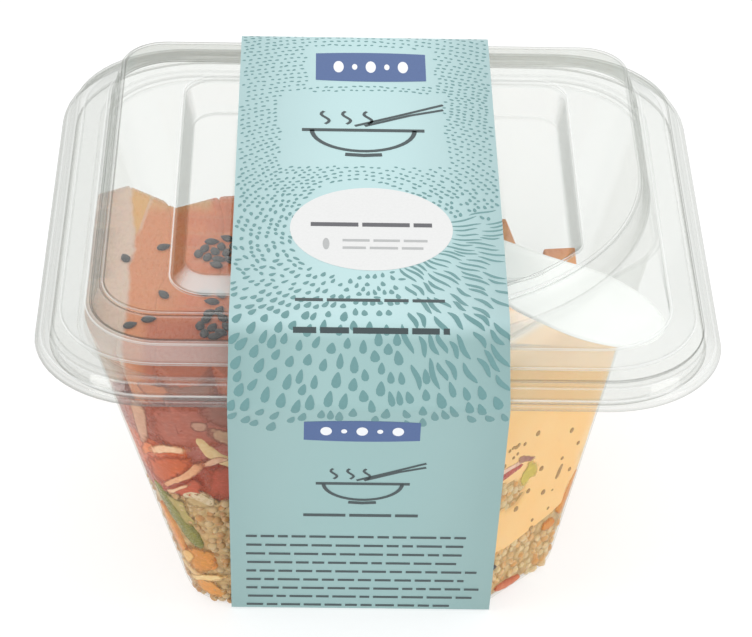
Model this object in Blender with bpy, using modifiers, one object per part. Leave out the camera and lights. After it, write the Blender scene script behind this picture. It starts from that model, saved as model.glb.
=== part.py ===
# A shut ready meal of fish and grain salad: a square clear tub with one corner cut off,
# its clear lid with a well in the top, a card sleeve round both, a small flat spoon
# under the lid, and the food. Metres, +Z up, the origin under the middle, the front at -Y.
import math
import random

import bmesh
import bpy
from mathutils import Matrix, Vector

MM = 0.001

# Packaging
SKIN = 0.7 * MM            # wall of the tub and the lid
GAP = 0.35 * MM            # clearance between neighbours
CORNER_STEPS = 5           # segments in a quarter of a rounded corner
TUB_BOTTOM = 0.8 * MM
TUB_TOP = 74.2 * MM        # underside of the tub's flange
TUB_BASE_HALF = 40.0 * MM
TUB_BASE_DEPTH = 42.0 * MM  # half the base from front to back
TUB_TOP_HALF = 59.9 * MM
TUB_BASE_CUT = 66.4 * MM   # the cut corner runs along x - y = this value
TUB_TOP_CUT = 70.5 * MM
TUB_BASE_RADIUS = 10.0 * MM
TUB_TOP_RADIUS = 20.2 * MM
LID_BOTTOM = 73.9 * MM
LID_LEDGE = 80.2 * MM      # level round the foot of the raised top
LID_TOP = 86.15 * MM
WELL_FLOOR = 82.6 * MM
SPOON_LENGTH = 72 * MM
SLEEVE_SKIN = 0.4 * MM
SLEEVE_LEFT = -30.2 * MM
SLEEVE_RIGHT = 25.8 * MM

# Food
GRAIN_BUMP = 1.3 * MM
BED_BACK = 25 * MM         # level of the salad at the back
BED_LEFT = 34.3 * MM       # level under the fish
BED_MIDDLE = 50 * MM       # level beside the fish
BED_FRONT = 61 * MM        # level behind the dressing
BED_SIDE = 40 * MM         # level in front against the right wall
DRESSING_BOTTOM = 12.5 * MM
DRESSING_TOP = 73.2 * MM
SEED_LENGTH = 3.2 * MM
SEED_WIDTH = 1.9 * MM


def clear_scene():
    for item in list(bpy.data.objects):
        bpy.data.objects.remove(item, do_unlink=True)


def new_collection(name):
    made = bpy.data.collections.new(name)
    bpy.context.scene.collection.children.link(made)
    return made


def finish(name, colour, roughness, alpha=1.0):
    made = bpy.data.materials.new(name)
    made.use_nodes = True
    shader = made.node_tree.nodes["Principled BSDF"]
    shader.inputs["Base Color"].default_value = (*colour, 1)
    shader.inputs["Roughness"].default_value = roughness
    shader.inputs["Metallic"].default_value = 0
    shader.inputs["Alpha"].default_value = alpha
    return made


def new_object(name, points, faces, collection, material=None):
    mesh = bpy.data.meshes.new(name)
    mesh.from_pydata([tuple(p) for p in points], [], faces)
    mesh.validate()
    made = bpy.data.objects.new(name, mesh)
    collection.objects.link(made)
    if material:
        mesh.materials.append(material)
        mesh.shade_smooth()
        mesh.set_sharp_from_angle(angle=math.radians(35))
    return made


def solidify(made, thickness):
    shell = made.modifiers.new("Wall", "SOLIDIFY")
    shell.thickness = thickness
    shell.offset = -1
    shell.use_even_offset = True


def mix(a, b, t):
    return a + (b - a) * t


def ramp(start, end, value):
    t = min(max((value - start) / (end - start), 0), 1)
    return t * t * (3 - 2 * t)


# Outlines

def rounded_corner(corner, before, after, radius, steps):
    """Points of the arc that rounds a corner off, from the side before it to the side after it."""
    back = (before - corner).normalized()
    on = (after - corner).normalized()
    half_angle = back.angle(on) / 2
    reach = radius / math.tan(half_angle)
    centre = corner + (back + on).normalized() * radius / math.sin(half_angle)
    start = corner + back * reach - centre
    turn = math.pi - 2 * half_angle
    return [centre + Matrix.Rotation(turn * k / steps, 2) @ start for k in range(steps + 1)]


def outline(half_x, half_y, radius, cut=None, cut_radii=None, back=None, bulge=None):
    """A rounded rectangle, anticlockwise. Its back corners may have their own radius, and its
    front right corner may be cut along x - y = cut or be a wider arc."""
    back_right = Vector((half_x, half_y))
    back_left = Vector((-half_x, half_y))
    front_left = Vector((-half_x, -half_y))
    front_right = Vector((half_x, -half_y))
    points = []
    points += rounded_corner(back_right, front_right, back_left, back or radius, CORNER_STEPS)
    points += rounded_corner(back_left, back_right, front_left, back or radius, CORNER_STEPS)
    points += rounded_corner(front_left, back_left, front_right, radius, CORNER_STEPS)
    if cut is None:
        points += rounded_corner(front_right, front_left, back_right, bulge or radius, 2 * CORNER_STEPS + 1)
    else:
        first = Vector((cut - half_y, -half_y))
        second = Vector((half_x, half_x - cut))
        points += rounded_corner(first, front_left, second, cut_radii[0], CORNER_STEPS)
        points += rounded_corner(second, first, back_right, cut_radii[1], CORNER_STEPS)
    return points


def loft(name, loops, collection, material):
    """An open surface through loops of equally many points, closed over the last loop."""
    count = len(loops[0])
    points = [p for loop in loops for p in loop]
    faces = []
    for row in range(len(loops) - 1):
        for k in range(count):
            a, b = row * count + k, row * count + (k + 1) % count
            faces.append((a, b, b + count, a + count))
    last = (len(loops) - 1) * count
    faces.append(tuple(range(last, last + count)))
    return new_object(name, points, faces, collection, material)


def at_height(points, z):
    return [Vector((p.x, p.y, z)) for p in points]


# The tub and the lid

def tub_share(z):
    return (z - TUB_BOTTOM) / (TUB_TOP - TUB_BOTTOM)


def tub_loop(z, inset=0.0):
    """The outside of the tub's wall at a height, or that outline moved inwards."""
    share = tub_share(z)
    half_x = mix(TUB_BASE_HALF, TUB_TOP_HALF, share) - inset
    half_y = mix(TUB_BASE_DEPTH, TUB_TOP_HALF, share) - inset
    radius = mix(TUB_BASE_RADIUS, TUB_TOP_RADIUS, share) - inset / 2
    cut = mix(TUB_BASE_CUT, TUB_TOP_CUT, share) - inset * math.sqrt(2)
    cut_radius = mix(8.4, 15.0, share) * MM - inset / 2
    return outline(half_x, half_y, radius, cut, (cut_radius, cut_radius))


def make_tub(collection, material):
    rim_half = 66.7 * MM
    lip = 0.9 * MM
    rim_radius = 22 * MM
    rim_back = 28.5 * MM
    shoulder = 1.4 * MM
    inner = rim_half - 0.2 * MM
    loops = [
        at_height(outline(rim_half, rim_half, rim_radius, back=rim_back), TUB_TOP - lip),
        at_height(outline(inner, inner, rim_radius, back=rim_back), TUB_TOP),
        at_height(tub_loop(TUB_TOP, -shoulder), TUB_TOP),
        at_height(tub_loop(TUB_TOP, -0.3 * MM), TUB_TOP - 0.5 * MM),
        at_height(tub_loop(TUB_TOP - shoulder), TUB_TOP - shoulder),
        at_height(tub_loop(3.4 * MM), 3.4 * MM),
        at_height(tub_loop(1.5 * MM, 0.15 * MM), 1.5 * MM),
        at_height(tub_loop(TUB_BOTTOM, 0.9 * MM), TUB_BOTTOM),
    ]
    # The loops run down the outside, so the skin grows towards the food
    tub = loft("tub", [loop[::-1] for loop in loops], collection, material)
    solidify(tub, SKIN)
    return tub


def make_lid(collection, material):
    def flange(half_x, half_y, radius, z, back):
        loop = outline(half_x * MM, half_y * MM, radius * MM, back=back * MM)
        return at_height(loop, z)

    def dome(half_x, half_y, radius, z, back, bulge):
        loop = outline(half_x * MM, half_y * MM, radius * MM, back=back * MM, bulge=bulge * MM)
        return at_height(loop, z)

    def well(half_x, half_y, radius, z, shift, cut, wide, tight):
        cut_radii = (wide * MM, tight * MM)
        loop = outline(half_x * MM, half_y * MM, radius * MM, (cut + shift) * MM, cut_radii)
        return [p + Vector((0, shift * MM, 0)) for p in at_height(loop, z)]

    loops = [
        flange(70.0, 70.0, 24.7, LID_BOTTOM, 31.0),
        flange(69.6, 69.6, 24.3, 75.0 * MM, 30.5),
        flange(68.6, 68.4, 23.3, 75.7 * MM, 28.5),
        flange(67.3, 66.6, 21.6, 77.4 * MM, 25.0),
        flange(66.4, 65.2, 20.8, 77.9 * MM, 23.5),
        flange(65.0, 61.2, 20.4, 78.4 * MM, 22.0),
        flange(59.6, 56.8, 15.5, LID_LEDGE, 15.5),
        dome(59.0, 56.3, 15.0, LID_LEDGE, 15.0, 60.6),
        dome(56.9, 55.2, 12.5, 85.6 * MM, 9.8, 58.8),
        dome(56.1, 54.4, 12.0, LID_TOP, 9.3, 57.9),
        well(42.3, 43.7, 7.5, LID_TOP, -4.4, 71.3, 45.0, 6.0),
        well(41.9, 43.1, 7.1, LID_TOP - 0.4 * MM, -4.4, 70.8, 44.0, 5.6),
        well(39.9, 32.4, 5.4, WELL_FLOOR + 0.4 * MM, -3.9, 67.4, 8.0, 5.0),
        well(39.3, 31.1, 5.0, WELL_FLOOR, -3.9, 66.5, 7.5, 4.5),
    ]
    lid = loft("lid", loops, collection, material)
    solidify(lid, SKIN)
    return lid


def make_sleeve(collection, material):
    """A closed band of card: under the tub, up both slopes to the lid's edge and over its top."""
    corners = [
        (Vector((-42.4 * MM, 0)), 1.0 * MM),
        (Vector((42.4 * MM, 0)), 1.0 * MM),
        (Vector((71.3 * MM, 74.8 * MM)), 1.6 * MM),
        (Vector((56.9 * MM, 86.9 * MM)), 5.0 * MM),
        (Vector((-56.9 * MM, 86.9 * MM)), 5.0 * MM),
        (Vector((-71.3 * MM, 74.8 * MM)), 1.6 * MM),
    ]
    profile = []
    for k, (corner, radius) in enumerate(corners):
        before = corners[k - 1][0]
        after = corners[(k + 1) % len(corners)][0]
        profile += rounded_corner(corner, before, after, radius, 4)
    points = [(x, p.x, p.y) for x in (SLEEVE_LEFT, SLEEVE_RIGHT) for p in profile]
    count = len(profile)
    faces = [(k, k + count, (k + 1) % count + count, (k + 1) % count) for k in range(count)]
    sleeve = new_object("sleeve", points, [f[::-1] for f in faces], collection, material)
    solidify(sleeve, SLEEVE_SKIN)
    return sleeve


def spoon_half_width(d):
    """Half the spoon's width this far from the tip: an oval bowl that narrows to a handle."""
    widest = 22 * MM
    if d < widest:
        return 11.3 * MM * math.sqrt(max(1 - ((widest - d) / widest) ** 2.4, 0.02))
    half = mix(11.3 * MM, 6.8 * MM, ramp(22 * MM, 52 * MM, d))
    left = SPOON_LENGTH - d
    return half * math.sqrt(max(1 - max(1 - left / (6 * MM), 0) ** 2, 0.05))


def make_spoon(collection, material):
    """A flat moulded spoon: rows across it, from the tip of the bowl to the end of the handle."""
    tip = Vector((56.1 * MM, -50.2 * MM, 75.9 * MM))
    along = Vector((-0.738, 0.677, 0)).normalized()
    across = Vector((-along.y, along.x, 0))
    rows, columns = 18, 6
    points = []
    for row in range(rows + 1):
        d = SPOON_LENGTH * (1 - math.cos(math.pi * row / rows)) / 2
        half = spoon_half_width(d)
        depth = 2.1 * MM * (1 - ramp(20 * MM, 40 * MM, d)) + 0.3 * MM
        lift = 1.5 * MM * ramp(24 * MM, 44 * MM, d)
        for column in range(columns + 1):
            u = 2 * column / columns - 1
            edge = max(abs(u) ** 2.5, 1 - ramp(0, 9 * MM, d))
            points.append(tip + along * d + across * half * u + Vector((0, 0, lift + depth * edge)))
    faces = []
    for row in range(rows):
        for column in range(columns):
            a = row * (columns + 1) + column
            faces.append((a, a + columns + 1, a + columns + 2, a + 1))
    spoon = new_object("spoon", points, faces, collection, material)
    solidify(spoon, 0.55 * MM)
    return spoon


# The food follows the inside of the tub

FOOD_INSET = SKIN + 0.1 * MM + GAP


def food_half(z):
    return mix(TUB_BASE_HALF, TUB_TOP_HALF, tub_share(z)) - FOOD_INSET


def in_tub(x, y, z):
    """A place given for the tub's rim, drawn in with the walls at its own height."""
    share = food_half(z) / food_half(TUB_TOP)
    return Vector((x * share, y * share, z))


def held_in(point):
    """The point itself, or where it lies beyond the wall, the nearest one on the wall."""
    loop = tub_loop(point.z, FOOD_INSET)
    spot = Vector((point.x, point.y))
    nearest = None
    beyond = False
    for k, a in enumerate(loop):
        side = loop[(k + 1) % len(loop)] - a
        share = min(max((spot - a).dot(side) / side.length_squared, 0), 1)
        near = a + side * share
        beyond = beyond or side.cross(spot - a) < 0
        if nearest is None or (near - spot).length < (nearest - spot).length:
            nearest = near
    return Vector((nearest.x, nearest.y, point.z)) if beyond else point


def bed_top(x, y):
    """Level of the salad: low at the back, higher under the fish, highest behind the dressing."""
    left = ramp(-4 * MM, -12 * MM, x) * ramp(28 * MM, 12 * MM, y)
    right = ramp(-21 * MM, -3 * MM, x) * ramp(22 * MM, -10 * MM, y)
    front = mix(BED_MIDDLE, BED_FRONT, ramp(-8 * MM, 22 * MM, x))
    front = mix(front, BED_SIDE, ramp(38 * MM, 49 * MM, x))
    level = mix(BED_BACK, BED_LEFT, left)
    return mix(level, front, right)


def walk(points, distance):
    """The point this far along a line of points, and the direction there."""
    for a, b in zip(points, points[1:]):
        step = (b - a).length
        if distance <= step:
            break
        distance -= step
    return a + (b - a) * (distance / step), (b - a).normalized()


def wall_at(z, distance, inset):
    """A point on the wall's inside, measured along it from the middle of the cut corner."""
    loop = tub_loop(z, inset)
    second = len(loop) - CORNER_STEPS - 1
    middle = (loop[second - 1] + loop[second]) / 2
    if distance >= 0:
        return walk([middle] + loop[second:] + loop[:2], distance)
    place, direction = walk([middle] + loop[second - 1:CORNER_STEPS:-1], -distance)
    return place, -direction


def evenly(points, count):
    """A closed line resampled to this many points, the first one kept."""
    ring = points + points[:1]
    total = sum((b - a).length for a, b in zip(ring, ring[1:]))
    return [walk(ring, total * k / count)[0] for k in range(count)]


def make_bed(collection, material):
    """The grain salad: bumps of a grain's size on its sides and its top."""
    columns, levels, rings = 60, 10, 8
    bottom = TUB_BOTTOM + SKIN + GAP
    chance = random.Random(11)
    middle = Vector((0, 2 * MM))
    wall_tops = []
    for k, p in enumerate(evenly(tub_loop(30 * MM, FOOD_INSET), columns)):
        wall_tops.append(bed_top(p.x, p.y))
    points = []
    for level in range(levels + 1):
        share = (level / levels) ** 0.85
        rows = {}
        for k in range(columns):
            z = mix(bottom, wall_tops[k], share)
            key = round(z / MM, 2)
            if key not in rows:
                foot = 1.6 * MM * max(1 - (z - bottom) / (3 * MM), 0) ** 1.5
                rows[key] = evenly(tub_loop(z, FOOD_INSET + foot), columns)
            p = rows[key][k]
            dent = chance.uniform(0, GRAIN_BUMP)
            away = (middle - p).normalized()
            lift = 0 if level == 0 else chance.uniform(-0.3, 0.3) * GRAIN_BUMP
            points.append(Vector((p.x + away.x * dent, p.y + away.y * dent, z + lift)))
    edge = points[-columns:]
    for ring in range(1, rings):
        t = ring / rings
        for k in range(columns):
            x = mix(edge[k].x, middle.x, t)
            y = mix(edge[k].y, middle.y, t)
            bump = chance.uniform(-0.5, 0.5) * GRAIN_BUMP * ramp(rings, 0.6 * rings, ring)
            points.append(Vector((x, y, bed_top(x, y) + bump)))
    faces = [tuple(range(columns))[::-1]]
    for row in range(levels + rings - 1):
        for k in range(columns):
            a, b = row * columns + k, row * columns + (k + 1) % columns
            faces.append((a, b, b + columns, a + columns))
    points.append(Vector((middle.x, middle.y, bed_top(middle.x, middle.y))))
    last = (levels + rings - 1) * columns
    faces += [(last + k, last + (k + 1) % columns, len(points) - 1) for k in range(columns)]
    return new_object("quinoa_salad", points, faces, collection, material)


# Dressing against the cut corner: how far it spreads along the wall at each height

def dressing_spread(z):
    left = mix(-17 * MM, -31 * MM, ramp(15 * MM, 45 * MM, z))
    left += 1.2 * MM * math.sin(z / (4 * MM))
    right = mix(-8 * MM, 9 * MM, ramp(10 * MM, 20 * MM, z))
    right = mix(right, 27 * MM, ramp(17 * MM, 34 * MM, z))
    right = mix(right, 8 * MM, ramp(52 * MM, 74 * MM, z))
    return left, right


def dressing_depth(z):
    return mix(4 * MM, 17 * MM, ramp(DRESSING_BOTTOM, 60 * MM, z))


def rounded_over(t):
    """How far a heap's top is drawn in at each share of its height."""
    return math.sqrt(max(1 - max((t - 0.86) / 0.15, 0) ** 2, 0.12))


def make_dressing(collection, material):
    """One row of points for each height: out along the wall, and back in a bow on the food side."""
    heights, steps = 16, 9
    points = []
    for row in range(heights + 1):
        t = row / heights
        z = mix(DRESSING_BOTTOM, DRESSING_TOP, t ** 0.9)
        left, right = dressing_spread(z)
        shrink = rounded_over(t)
        left, right = mix(right, left, (1 + shrink) / 2), mix(left, right, (1 + shrink) / 2)
        depth = dressing_depth(z) * shrink
        for k in range(steps + 1):
            place, _ = wall_at(z, mix(left, right, k / steps), FOOD_INSET)
            points.append(Vector((*place, z)))
        for k in range(1, steps):
            share = 1 - k / steps
            place, direction = wall_at(z, mix(left, right, share), FOOD_INSET)
            inwards = Vector((-direction.y, direction.x))
            bow = depth * math.sin(math.pi * share) ** 0.5
            wave = 1 + 0.12 * math.sin(5 * share + z / (6 * MM))
            points.append(Vector((*(place + inwards * bow * wave), z)))
    count = 2 * steps
    faces = [tuple(range(count))[::-1]]
    for row in range(heights):
        for k in range(count):
            a, b = row * count + k, row * count + (k + 1) % count
            faces.append((a, b, b + count, a + count))
    faces.append(tuple(range(heights * count, (heights + 1) * count)))
    return new_object("dressing", points, faces, collection, material)


def wall_strip(name, collection, material, start, end, width, thickness):
    """A cut of vegetable pressed to the wall: start and end are (distance along it, height)."""
    start, end = Vector(start) * MM, Vector(end) * MM
    run = (end - start).normalized()
    side = Vector((-run.y, run.x))
    stations, section = 5, 8
    points = []
    for station in range(stations + 1):
        t = station / stations
        centre = start + (end - start) * t
        centre += side * 0.12 * width * MM * math.sin(math.pi * t)
        half = (width * MM / 2) * (0.45 + 0.55 * math.sin(math.pi * min(max(t, 0.06), 0.94)) ** 0.5)
        for k in range(section):
            angle = 2 * math.pi * (k + 0.5) / section
            spot = centre + side * half * math.copysign(abs(math.cos(angle)) ** 0.6, math.cos(angle))
            depth = thickness * MM * (0.5 + 0.5 * math.sin(angle))
            place, direction = wall_at(spot.y, spot.x, FOOD_INSET)
            inwards = Vector((-direction.y, direction.x))
            points.append(Vector((*(place + inwards * depth), spot.y)))
    faces = [tuple(range(section)), tuple(range(stations * section, (stations + 1) * section))[::-1]]
    for row in range(stations):
        for k in range(section):
            a, b = row * section + k, row * section + (k + 1) % section
            faces.append((a, a + section, b + section, b))
    return new_object(name, points, faces, collection, material)


# Each: start and end as (distance along the wall, height), width, thickness, material.
# Distances run from the middle of the cut corner, those right of it are positive.
WALL_PIECES = {
    "green_pepper_strip": ((-87, 35.5), (-74.5, 18.6), 4.2, 2.2, "green"),
    "orange_pepper_strip": ((-85.5, 28), (-77.5, 13.5), 3.2, 2.0, "orange"),
    "orange_pepper_piece": ((-74.6, 15.4), (-70.5, 12.2), 3.0, 1.8, "orange"),
    "cabbage_shred_low": ((-79.5, 10.4), (-68, 8.2), 2.2, 1.2, "cabbage"),
    "cabbage_shred_middle": ((-80, 36.9), (-72.5, 33), 3.0, 1.0, "cabbage"),
    "cabbage_shred_top": ((-79.5, 55.6), (-68, 44.2), 2.6, 1.4, "cabbage"),
    "red_pepper_strip": ((-21, 34.6), (-4.4, 36.2), 2.8, 1.8, "red"),
    "pepper_leaf": ((-3.6, 29.6), (2.8, 34.8), 3.4, 1.2, "yellow"),
    "quinoa_patch": ((-15, 27.4), (-4.2, 27.0), 6.4, 1.8, "grain"),
    "carrot_piece": ((15.6, 23.6), (11, 15.4), 4.0, 2.2, "orange"),
    "carrot_piece_low": ((6.4, 13.4), (9.8, 9.2), 3.2, 2.0, "orange"),
    "red_pepper_piece": ((-6.5, 5.0), (0, 5.5), 2.6, 1.6, "red"),
}


# Which of them press into the dressing, and which into each cut of fish
IN_DRESSING = ("red_pepper_strip", "pepper_leaf", "quinoa_patch", "carrot_piece", "carrot_piece_low")
IN_CUTS = {
    "trout_low_left": ("green_pepper_strip", "cabbage_shred_middle"),
    "trout_low_right": ("cabbage_shred_middle", "cabbage_shred_top"),
    "trout_middle_right": ("cabbage_shred_top",),
    "trout_bright": ("cabbage_shred_top",),
    "trout_left": ("cabbage_shred_top",),
}


def room_for(objects, cutters):
    """Copies of the pieces, a little larger on every side."""
    tools = []
    for item in objects:
        tool = bpy.data.objects.new("room for " + item.name, item.data.copy())
        cutters.objects.link(tool)
        swell = tool.modifiers.new("Swell", "DISPLACE")
        swell.direction = "NORMAL"
        swell.mid_level = 0
        swell.strength = 2.8 * GAP
        tools.append(tool)
    return tools


def triangulate(mesh):
    body = bmesh.new()
    body.from_mesh(mesh)
    bmesh.ops.triangulate(body, faces=body.faces)
    body.to_mesh(mesh)
    body.free()


def keep_largest(mesh):
    """Drops the loose scraps that a cut leaves, and merges points that fall on one spot."""
    body = bmesh.new()
    body.from_mesh(mesh)
    bmesh.ops.remove_doubles(body, verts=body.verts, dist=0.004 * MM)
    bmesh.ops.triangulate(body, faces=body.faces, ngon_method="BEAUTY")
    left = set(body.verts)
    largest = []
    while left:
        island = []
        edge_of_island = [left.pop()]
        while edge_of_island:
            vert = edge_of_island.pop()
            island.append(vert)
            for edge in vert.link_edges:
                other = edge.other_vert(vert)
                if other in left:
                    left.remove(other)
                    edge_of_island.append(other)
        if len(island) > len(largest):
            island, largest = largest, island
        bmesh.ops.delete(body, geom=island, context="VERTS")
    body.to_mesh(mesh)
    body.free()


def join_into(target, pieces, operation, cutters, solver="EXACT"):
    """One Boolean with a collection, applied, and the collection's objects then removed."""
    for piece in pieces:
        piece.hide_render = True
        piece.display_type = "WIRE"
    group = bpy.data.collections.new(target.name + "_tools")
    cutters.children.link(group)
    for piece in pieces:
        for old in list(piece.users_collection):
            old.objects.unlink(piece)
        group.objects.link(piece)
    for item in (target, *pieces):
        triangulate(item.data)
    boolean = target.modifiers.new("Join", "BOOLEAN")
    boolean.operation = operation
    boolean.solver = solver
    boolean.operand_type = "COLLECTION"
    boolean.collection = group
    graph = bpy.context.evaluated_depsgraph_get()
    mesh = bpy.data.meshes.new_from_object(target.evaluated_get(graph))
    keep_largest(mesh)
    target.modifiers.clear()
    target.data = mesh
    for piece in pieces:
        bpy.data.objects.remove(piece, do_unlink=True)
    bpy.data.collections.remove(group)


# Each cut is a block between two corners whose x and y are given for the tub's rim

def cut_point(low, high, t, angle):
    """A point on a cut of fish: t runs along its longer side, the angle round its section."""
    width_axis = 0 if high[1] - low[1] > high[0] - low[0] else 1
    length_axis = 1 - width_axis
    end = math.sqrt(max(1 - max(1 - (1 - t) / 0.12, 0) ** 2, 0.2)) * (0.9 if t == 0 else 1)
    sideways = math.copysign(abs(math.cos(angle)) ** 0.45, math.cos(angle))
    upwards = math.copysign(abs(math.sin(angle)) ** 0.5, math.sin(angle))
    place = [0, 0, 0]
    place[length_axis] = mix(low[length_axis], high[length_axis], t)
    for axis, share in ((width_axis, sideways), (2, upwards)):
        place[axis] = mix(low[axis], high[axis], (1 + end * share) / 2)
    wave = 0.1 * math.sin(place[length_axis] / 6)
    sway = 1.6 * math.sin((place[1] + 20) / 22) * ramp(-56, -40, place[0])
    return held_in(in_tub((place[0] + sway) * MM, place[1] * MM, (place[2] + wave) * MM))


def make_cut(name, collection, material, low, high):
    stations, section = 8, 12
    points = []
    for station in range(stations + 1):
        for k in range(section):
            angle = 2 * math.pi * (k + 0.5) / section
            points.append(cut_point(low, high, station / stations, angle))
    faces = [tuple(range(section)), tuple(range(stations * section, (stations + 1) * section))[::-1]]
    for row in range(stations):
        for k in range(section):
            a, b = row * section + k, row * section + (k + 1) % section
            faces.append((a, a + section, b + section, b))
    if high[1] - low[1] <= high[0] - low[0]:
        faces = [f[::-1] for f in faces]
    return new_object(name, points, faces, collection, material)


def seed_on(low, high, t, angle, turn, collection):
    """A sesame seed: a small drop-shaped body with few sides that lies on a cut of fish."""
    spot = cut_point(low, high, t, angle)
    along = cut_point(low, high, t + 0.02, angle) - spot
    around = cut_point(low, high, t, angle + 0.05) - spot
    up = around.cross(along).normalized()
    up = up if up.z > 0 else -up
    lengthwise = (Matrix.Rotation(turn, 3, up) @ along).normalized()
    across = up.cross(lengthwise)
    stations, section = 3, 6
    local = [(-SEED_LENGTH / 2, 0, 0)]
    for station in range(stations):
        x = (station + 1) / (stations + 1)
        half = SEED_WIDTH / 2 * math.sin(math.pi * x ** 0.8)
        for k in range(section):
            angle = 2 * math.pi * k / section
            local.append(((x - 0.5) * SEED_LENGTH, half * math.cos(angle), 0.6 * half * math.sin(angle)))
    local.append((SEED_LENGTH / 2, 0, 0))
    last = len(local) - 1
    faces = []
    for k in range(section):
        on = (k + 1) % section
        faces.append((0, 1 + on, 1 + k))
        faces.append((last, last - section + k, last - section + on))
        for station in range(stations - 1):
            a, b = 1 + station * section + k, 1 + station * section + on
            faces.append((a, b, b + section, a + section))
    points = [spot + lengthwise * p[0] + across * p[1] + up * p[2] for p in local]
    return new_object("seed", points, faces, collection)


# Cuts of fish and carrot: low corner, high corner, seeds.
# A cut that reaches beyond the wall is pressed flat on it.
CUTS = {
    "trout_low_left": ((-60, -62, 35.3), (-45.0, 5, 40.0), 0),
    "trout_bright": ((-60, -62, 40.6), (-44.4, 8, 51.0), 0),
    "trout_left": ((-60, -62, 51.6), (-45.6, 4, 62.9), 0),
    "trout_low_right": ((-44.2, -62, 35.3), (-24.6, 3, 46.8), 0),
    "trout_middle_right": ((-43.6, -62, 47.4), (-23.4, -1, 56.4), 0),
    "trout_high_right": ((-44.8, -62, 57.0), (-25, 2, 65.4), 0),
    "trout_top_pale": ((-60, -52, 63.5), (-52.8, 8.0, 75.0), 2),
    "trout_top_left": ((-52.0, -60, 63.5), (-45.4, 9, 75.6), 6),
    "trout_top_middle": ((-44.4, -60, 66.0), (-34.2, 3, 75.4), 9),
    "trout_top_right": ((-33.4, -60, 66.0), (-23, 6, 75.4), 14),
    "carrot_piece_left": ((19, -3.5, 62.6), (29.8, 6.0, 69.8), 0),
    "carrot_piece_right": ((36.2, -12, 62.6), (41.4, -5.2, 69.8), 0),
}


def add_seeds(fish, low, high, count, cutters, chance):
    seeds = []
    spots = []
    while len(seeds) < count:
        t = chance.uniform(0.1, 0.86)
        angle = chance.uniform(0.34, 0.66) * math.pi
        spot = cut_point(low, high, t, angle)
        if any((spot - other).length < 1.25 * SEED_LENGTH for other in spots):
            continue
        spots.append(spot)
        seeds.append(seed_on(low, high, t, angle, chance.uniform(0, math.pi), cutters))
    join_into(fish, seeds, "UNION", cutters)


def main():
    clear_scene()
    parts = new_collection("fish and grain bowl")
    cutters = new_collection("cutters")
    clear = finish("clear plastic", (0.93, 0.95, 0.94), 0.05, 0.25)
    make_tub(parts, clear)
    make_lid(parts, clear)
    make_sleeve(parts, finish("printed card", (0.42, 0.66, 0.67), 0.5))
    make_spoon(parts, finish("white plastic", (0.86, 0.87, 0.87), 0.35))

    finishes = {
        "grain": finish("cooked grain", (0.66, 0.47, 0.25), 0.5),
        "green": finish("green pepper", (0.3, 0.4, 0.08), 0.35),
        "orange": finish("orange pepper", (0.85, 0.35, 0.06), 0.35),
        "red": finish("red pepper", (0.6, 0.1, 0.04), 0.35),
        "yellow": finish("pepper leaf", (0.6, 0.55, 0.12), 0.4),
        "cabbage": finish("cabbage", (0.85, 0.78, 0.55), 0.4),
    }
    bed = make_bed(parts, finishes["grain"])
    dressing = make_dressing(parts, finish("dressing", (0.88, 0.6, 0.32), 0.3))
    trout = finish("raw trout", (0.75, 0.24, 0.1), 0.3)
    cuts = {}
    for name, (low, high, seeds) in CUTS.items():
        flesh = finishes["orange"] if name.startswith("carrot") else trout
        cuts[name] = make_cut(name, parts, flesh, low, high)
    pieces = {}
    for name, (start, end, width, thickness, colour) in WALL_PIECES.items():
        pieces[name] = wall_strip(name, parts, finishes[colour], start, end, width, thickness)

    # What the pieces at the wall press into gets room for them
    in_bed = room_for([dressing, *pieces.values()], cutters)
    join_into(bed, in_bed, "DIFFERENCE", cutters, "MANIFOLD")
    join_into(dressing, room_for([pieces[name] for name in IN_DRESSING], cutters), "DIFFERENCE", cutters)
    for name, pressed in IN_CUTS.items():
        join_into(cuts[name], room_for([pieces[key] for key in pressed], cutters), "DIFFERENCE", cutters)

    chance = random.Random(5)
    for name, (low, high, seeds) in CUTS.items():
        if seeds:
            add_seeds(cuts[name], low, high, seeds, cutters, chance)


main()
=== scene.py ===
import math
import random

import bmesh
import bpy
import numpy as np
from mathutils import Matrix, Vector
from mathutils.bvhtree import BVHTree


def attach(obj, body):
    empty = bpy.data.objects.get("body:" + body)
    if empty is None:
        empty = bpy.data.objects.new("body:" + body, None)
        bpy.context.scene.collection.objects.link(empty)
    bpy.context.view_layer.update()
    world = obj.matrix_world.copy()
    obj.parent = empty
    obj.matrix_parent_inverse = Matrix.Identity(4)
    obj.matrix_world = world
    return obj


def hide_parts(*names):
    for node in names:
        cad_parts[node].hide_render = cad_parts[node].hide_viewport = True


mm = 0.001
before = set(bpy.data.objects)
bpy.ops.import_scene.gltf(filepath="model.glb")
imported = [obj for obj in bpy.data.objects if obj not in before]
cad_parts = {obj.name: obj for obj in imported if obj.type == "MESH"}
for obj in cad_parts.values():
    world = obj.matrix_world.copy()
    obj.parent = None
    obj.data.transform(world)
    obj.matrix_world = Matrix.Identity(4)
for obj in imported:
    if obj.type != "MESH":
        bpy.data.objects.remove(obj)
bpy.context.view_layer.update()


# Shader kit

class Wire:
    # one output of a shader node: arithmetic on it adds Math nodes
    def __init__(self, shop, socket):
        self.shop = shop
        self.socket = socket

    def math(self, operation, *others):
        return self.shop.add("Math", {"operation": operation}, dict(enumerate((self, *others))))

    def __add__(self, value):
        return self.math("ADD", value)

    def __sub__(self, value):
        return self.math("SUBTRACT", value)

    def __rsub__(self, value):
        return self.shop.add("Math", {"operation": "SUBTRACT"}, {0: value, 1: self})

    def __mul__(self, value):
        return self.math("MULTIPLY", value)

    def __pow__(self, value):
        return self.math("POWER", value)

    __radd__ = __add__
    __rmul__ = __mul__


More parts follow.
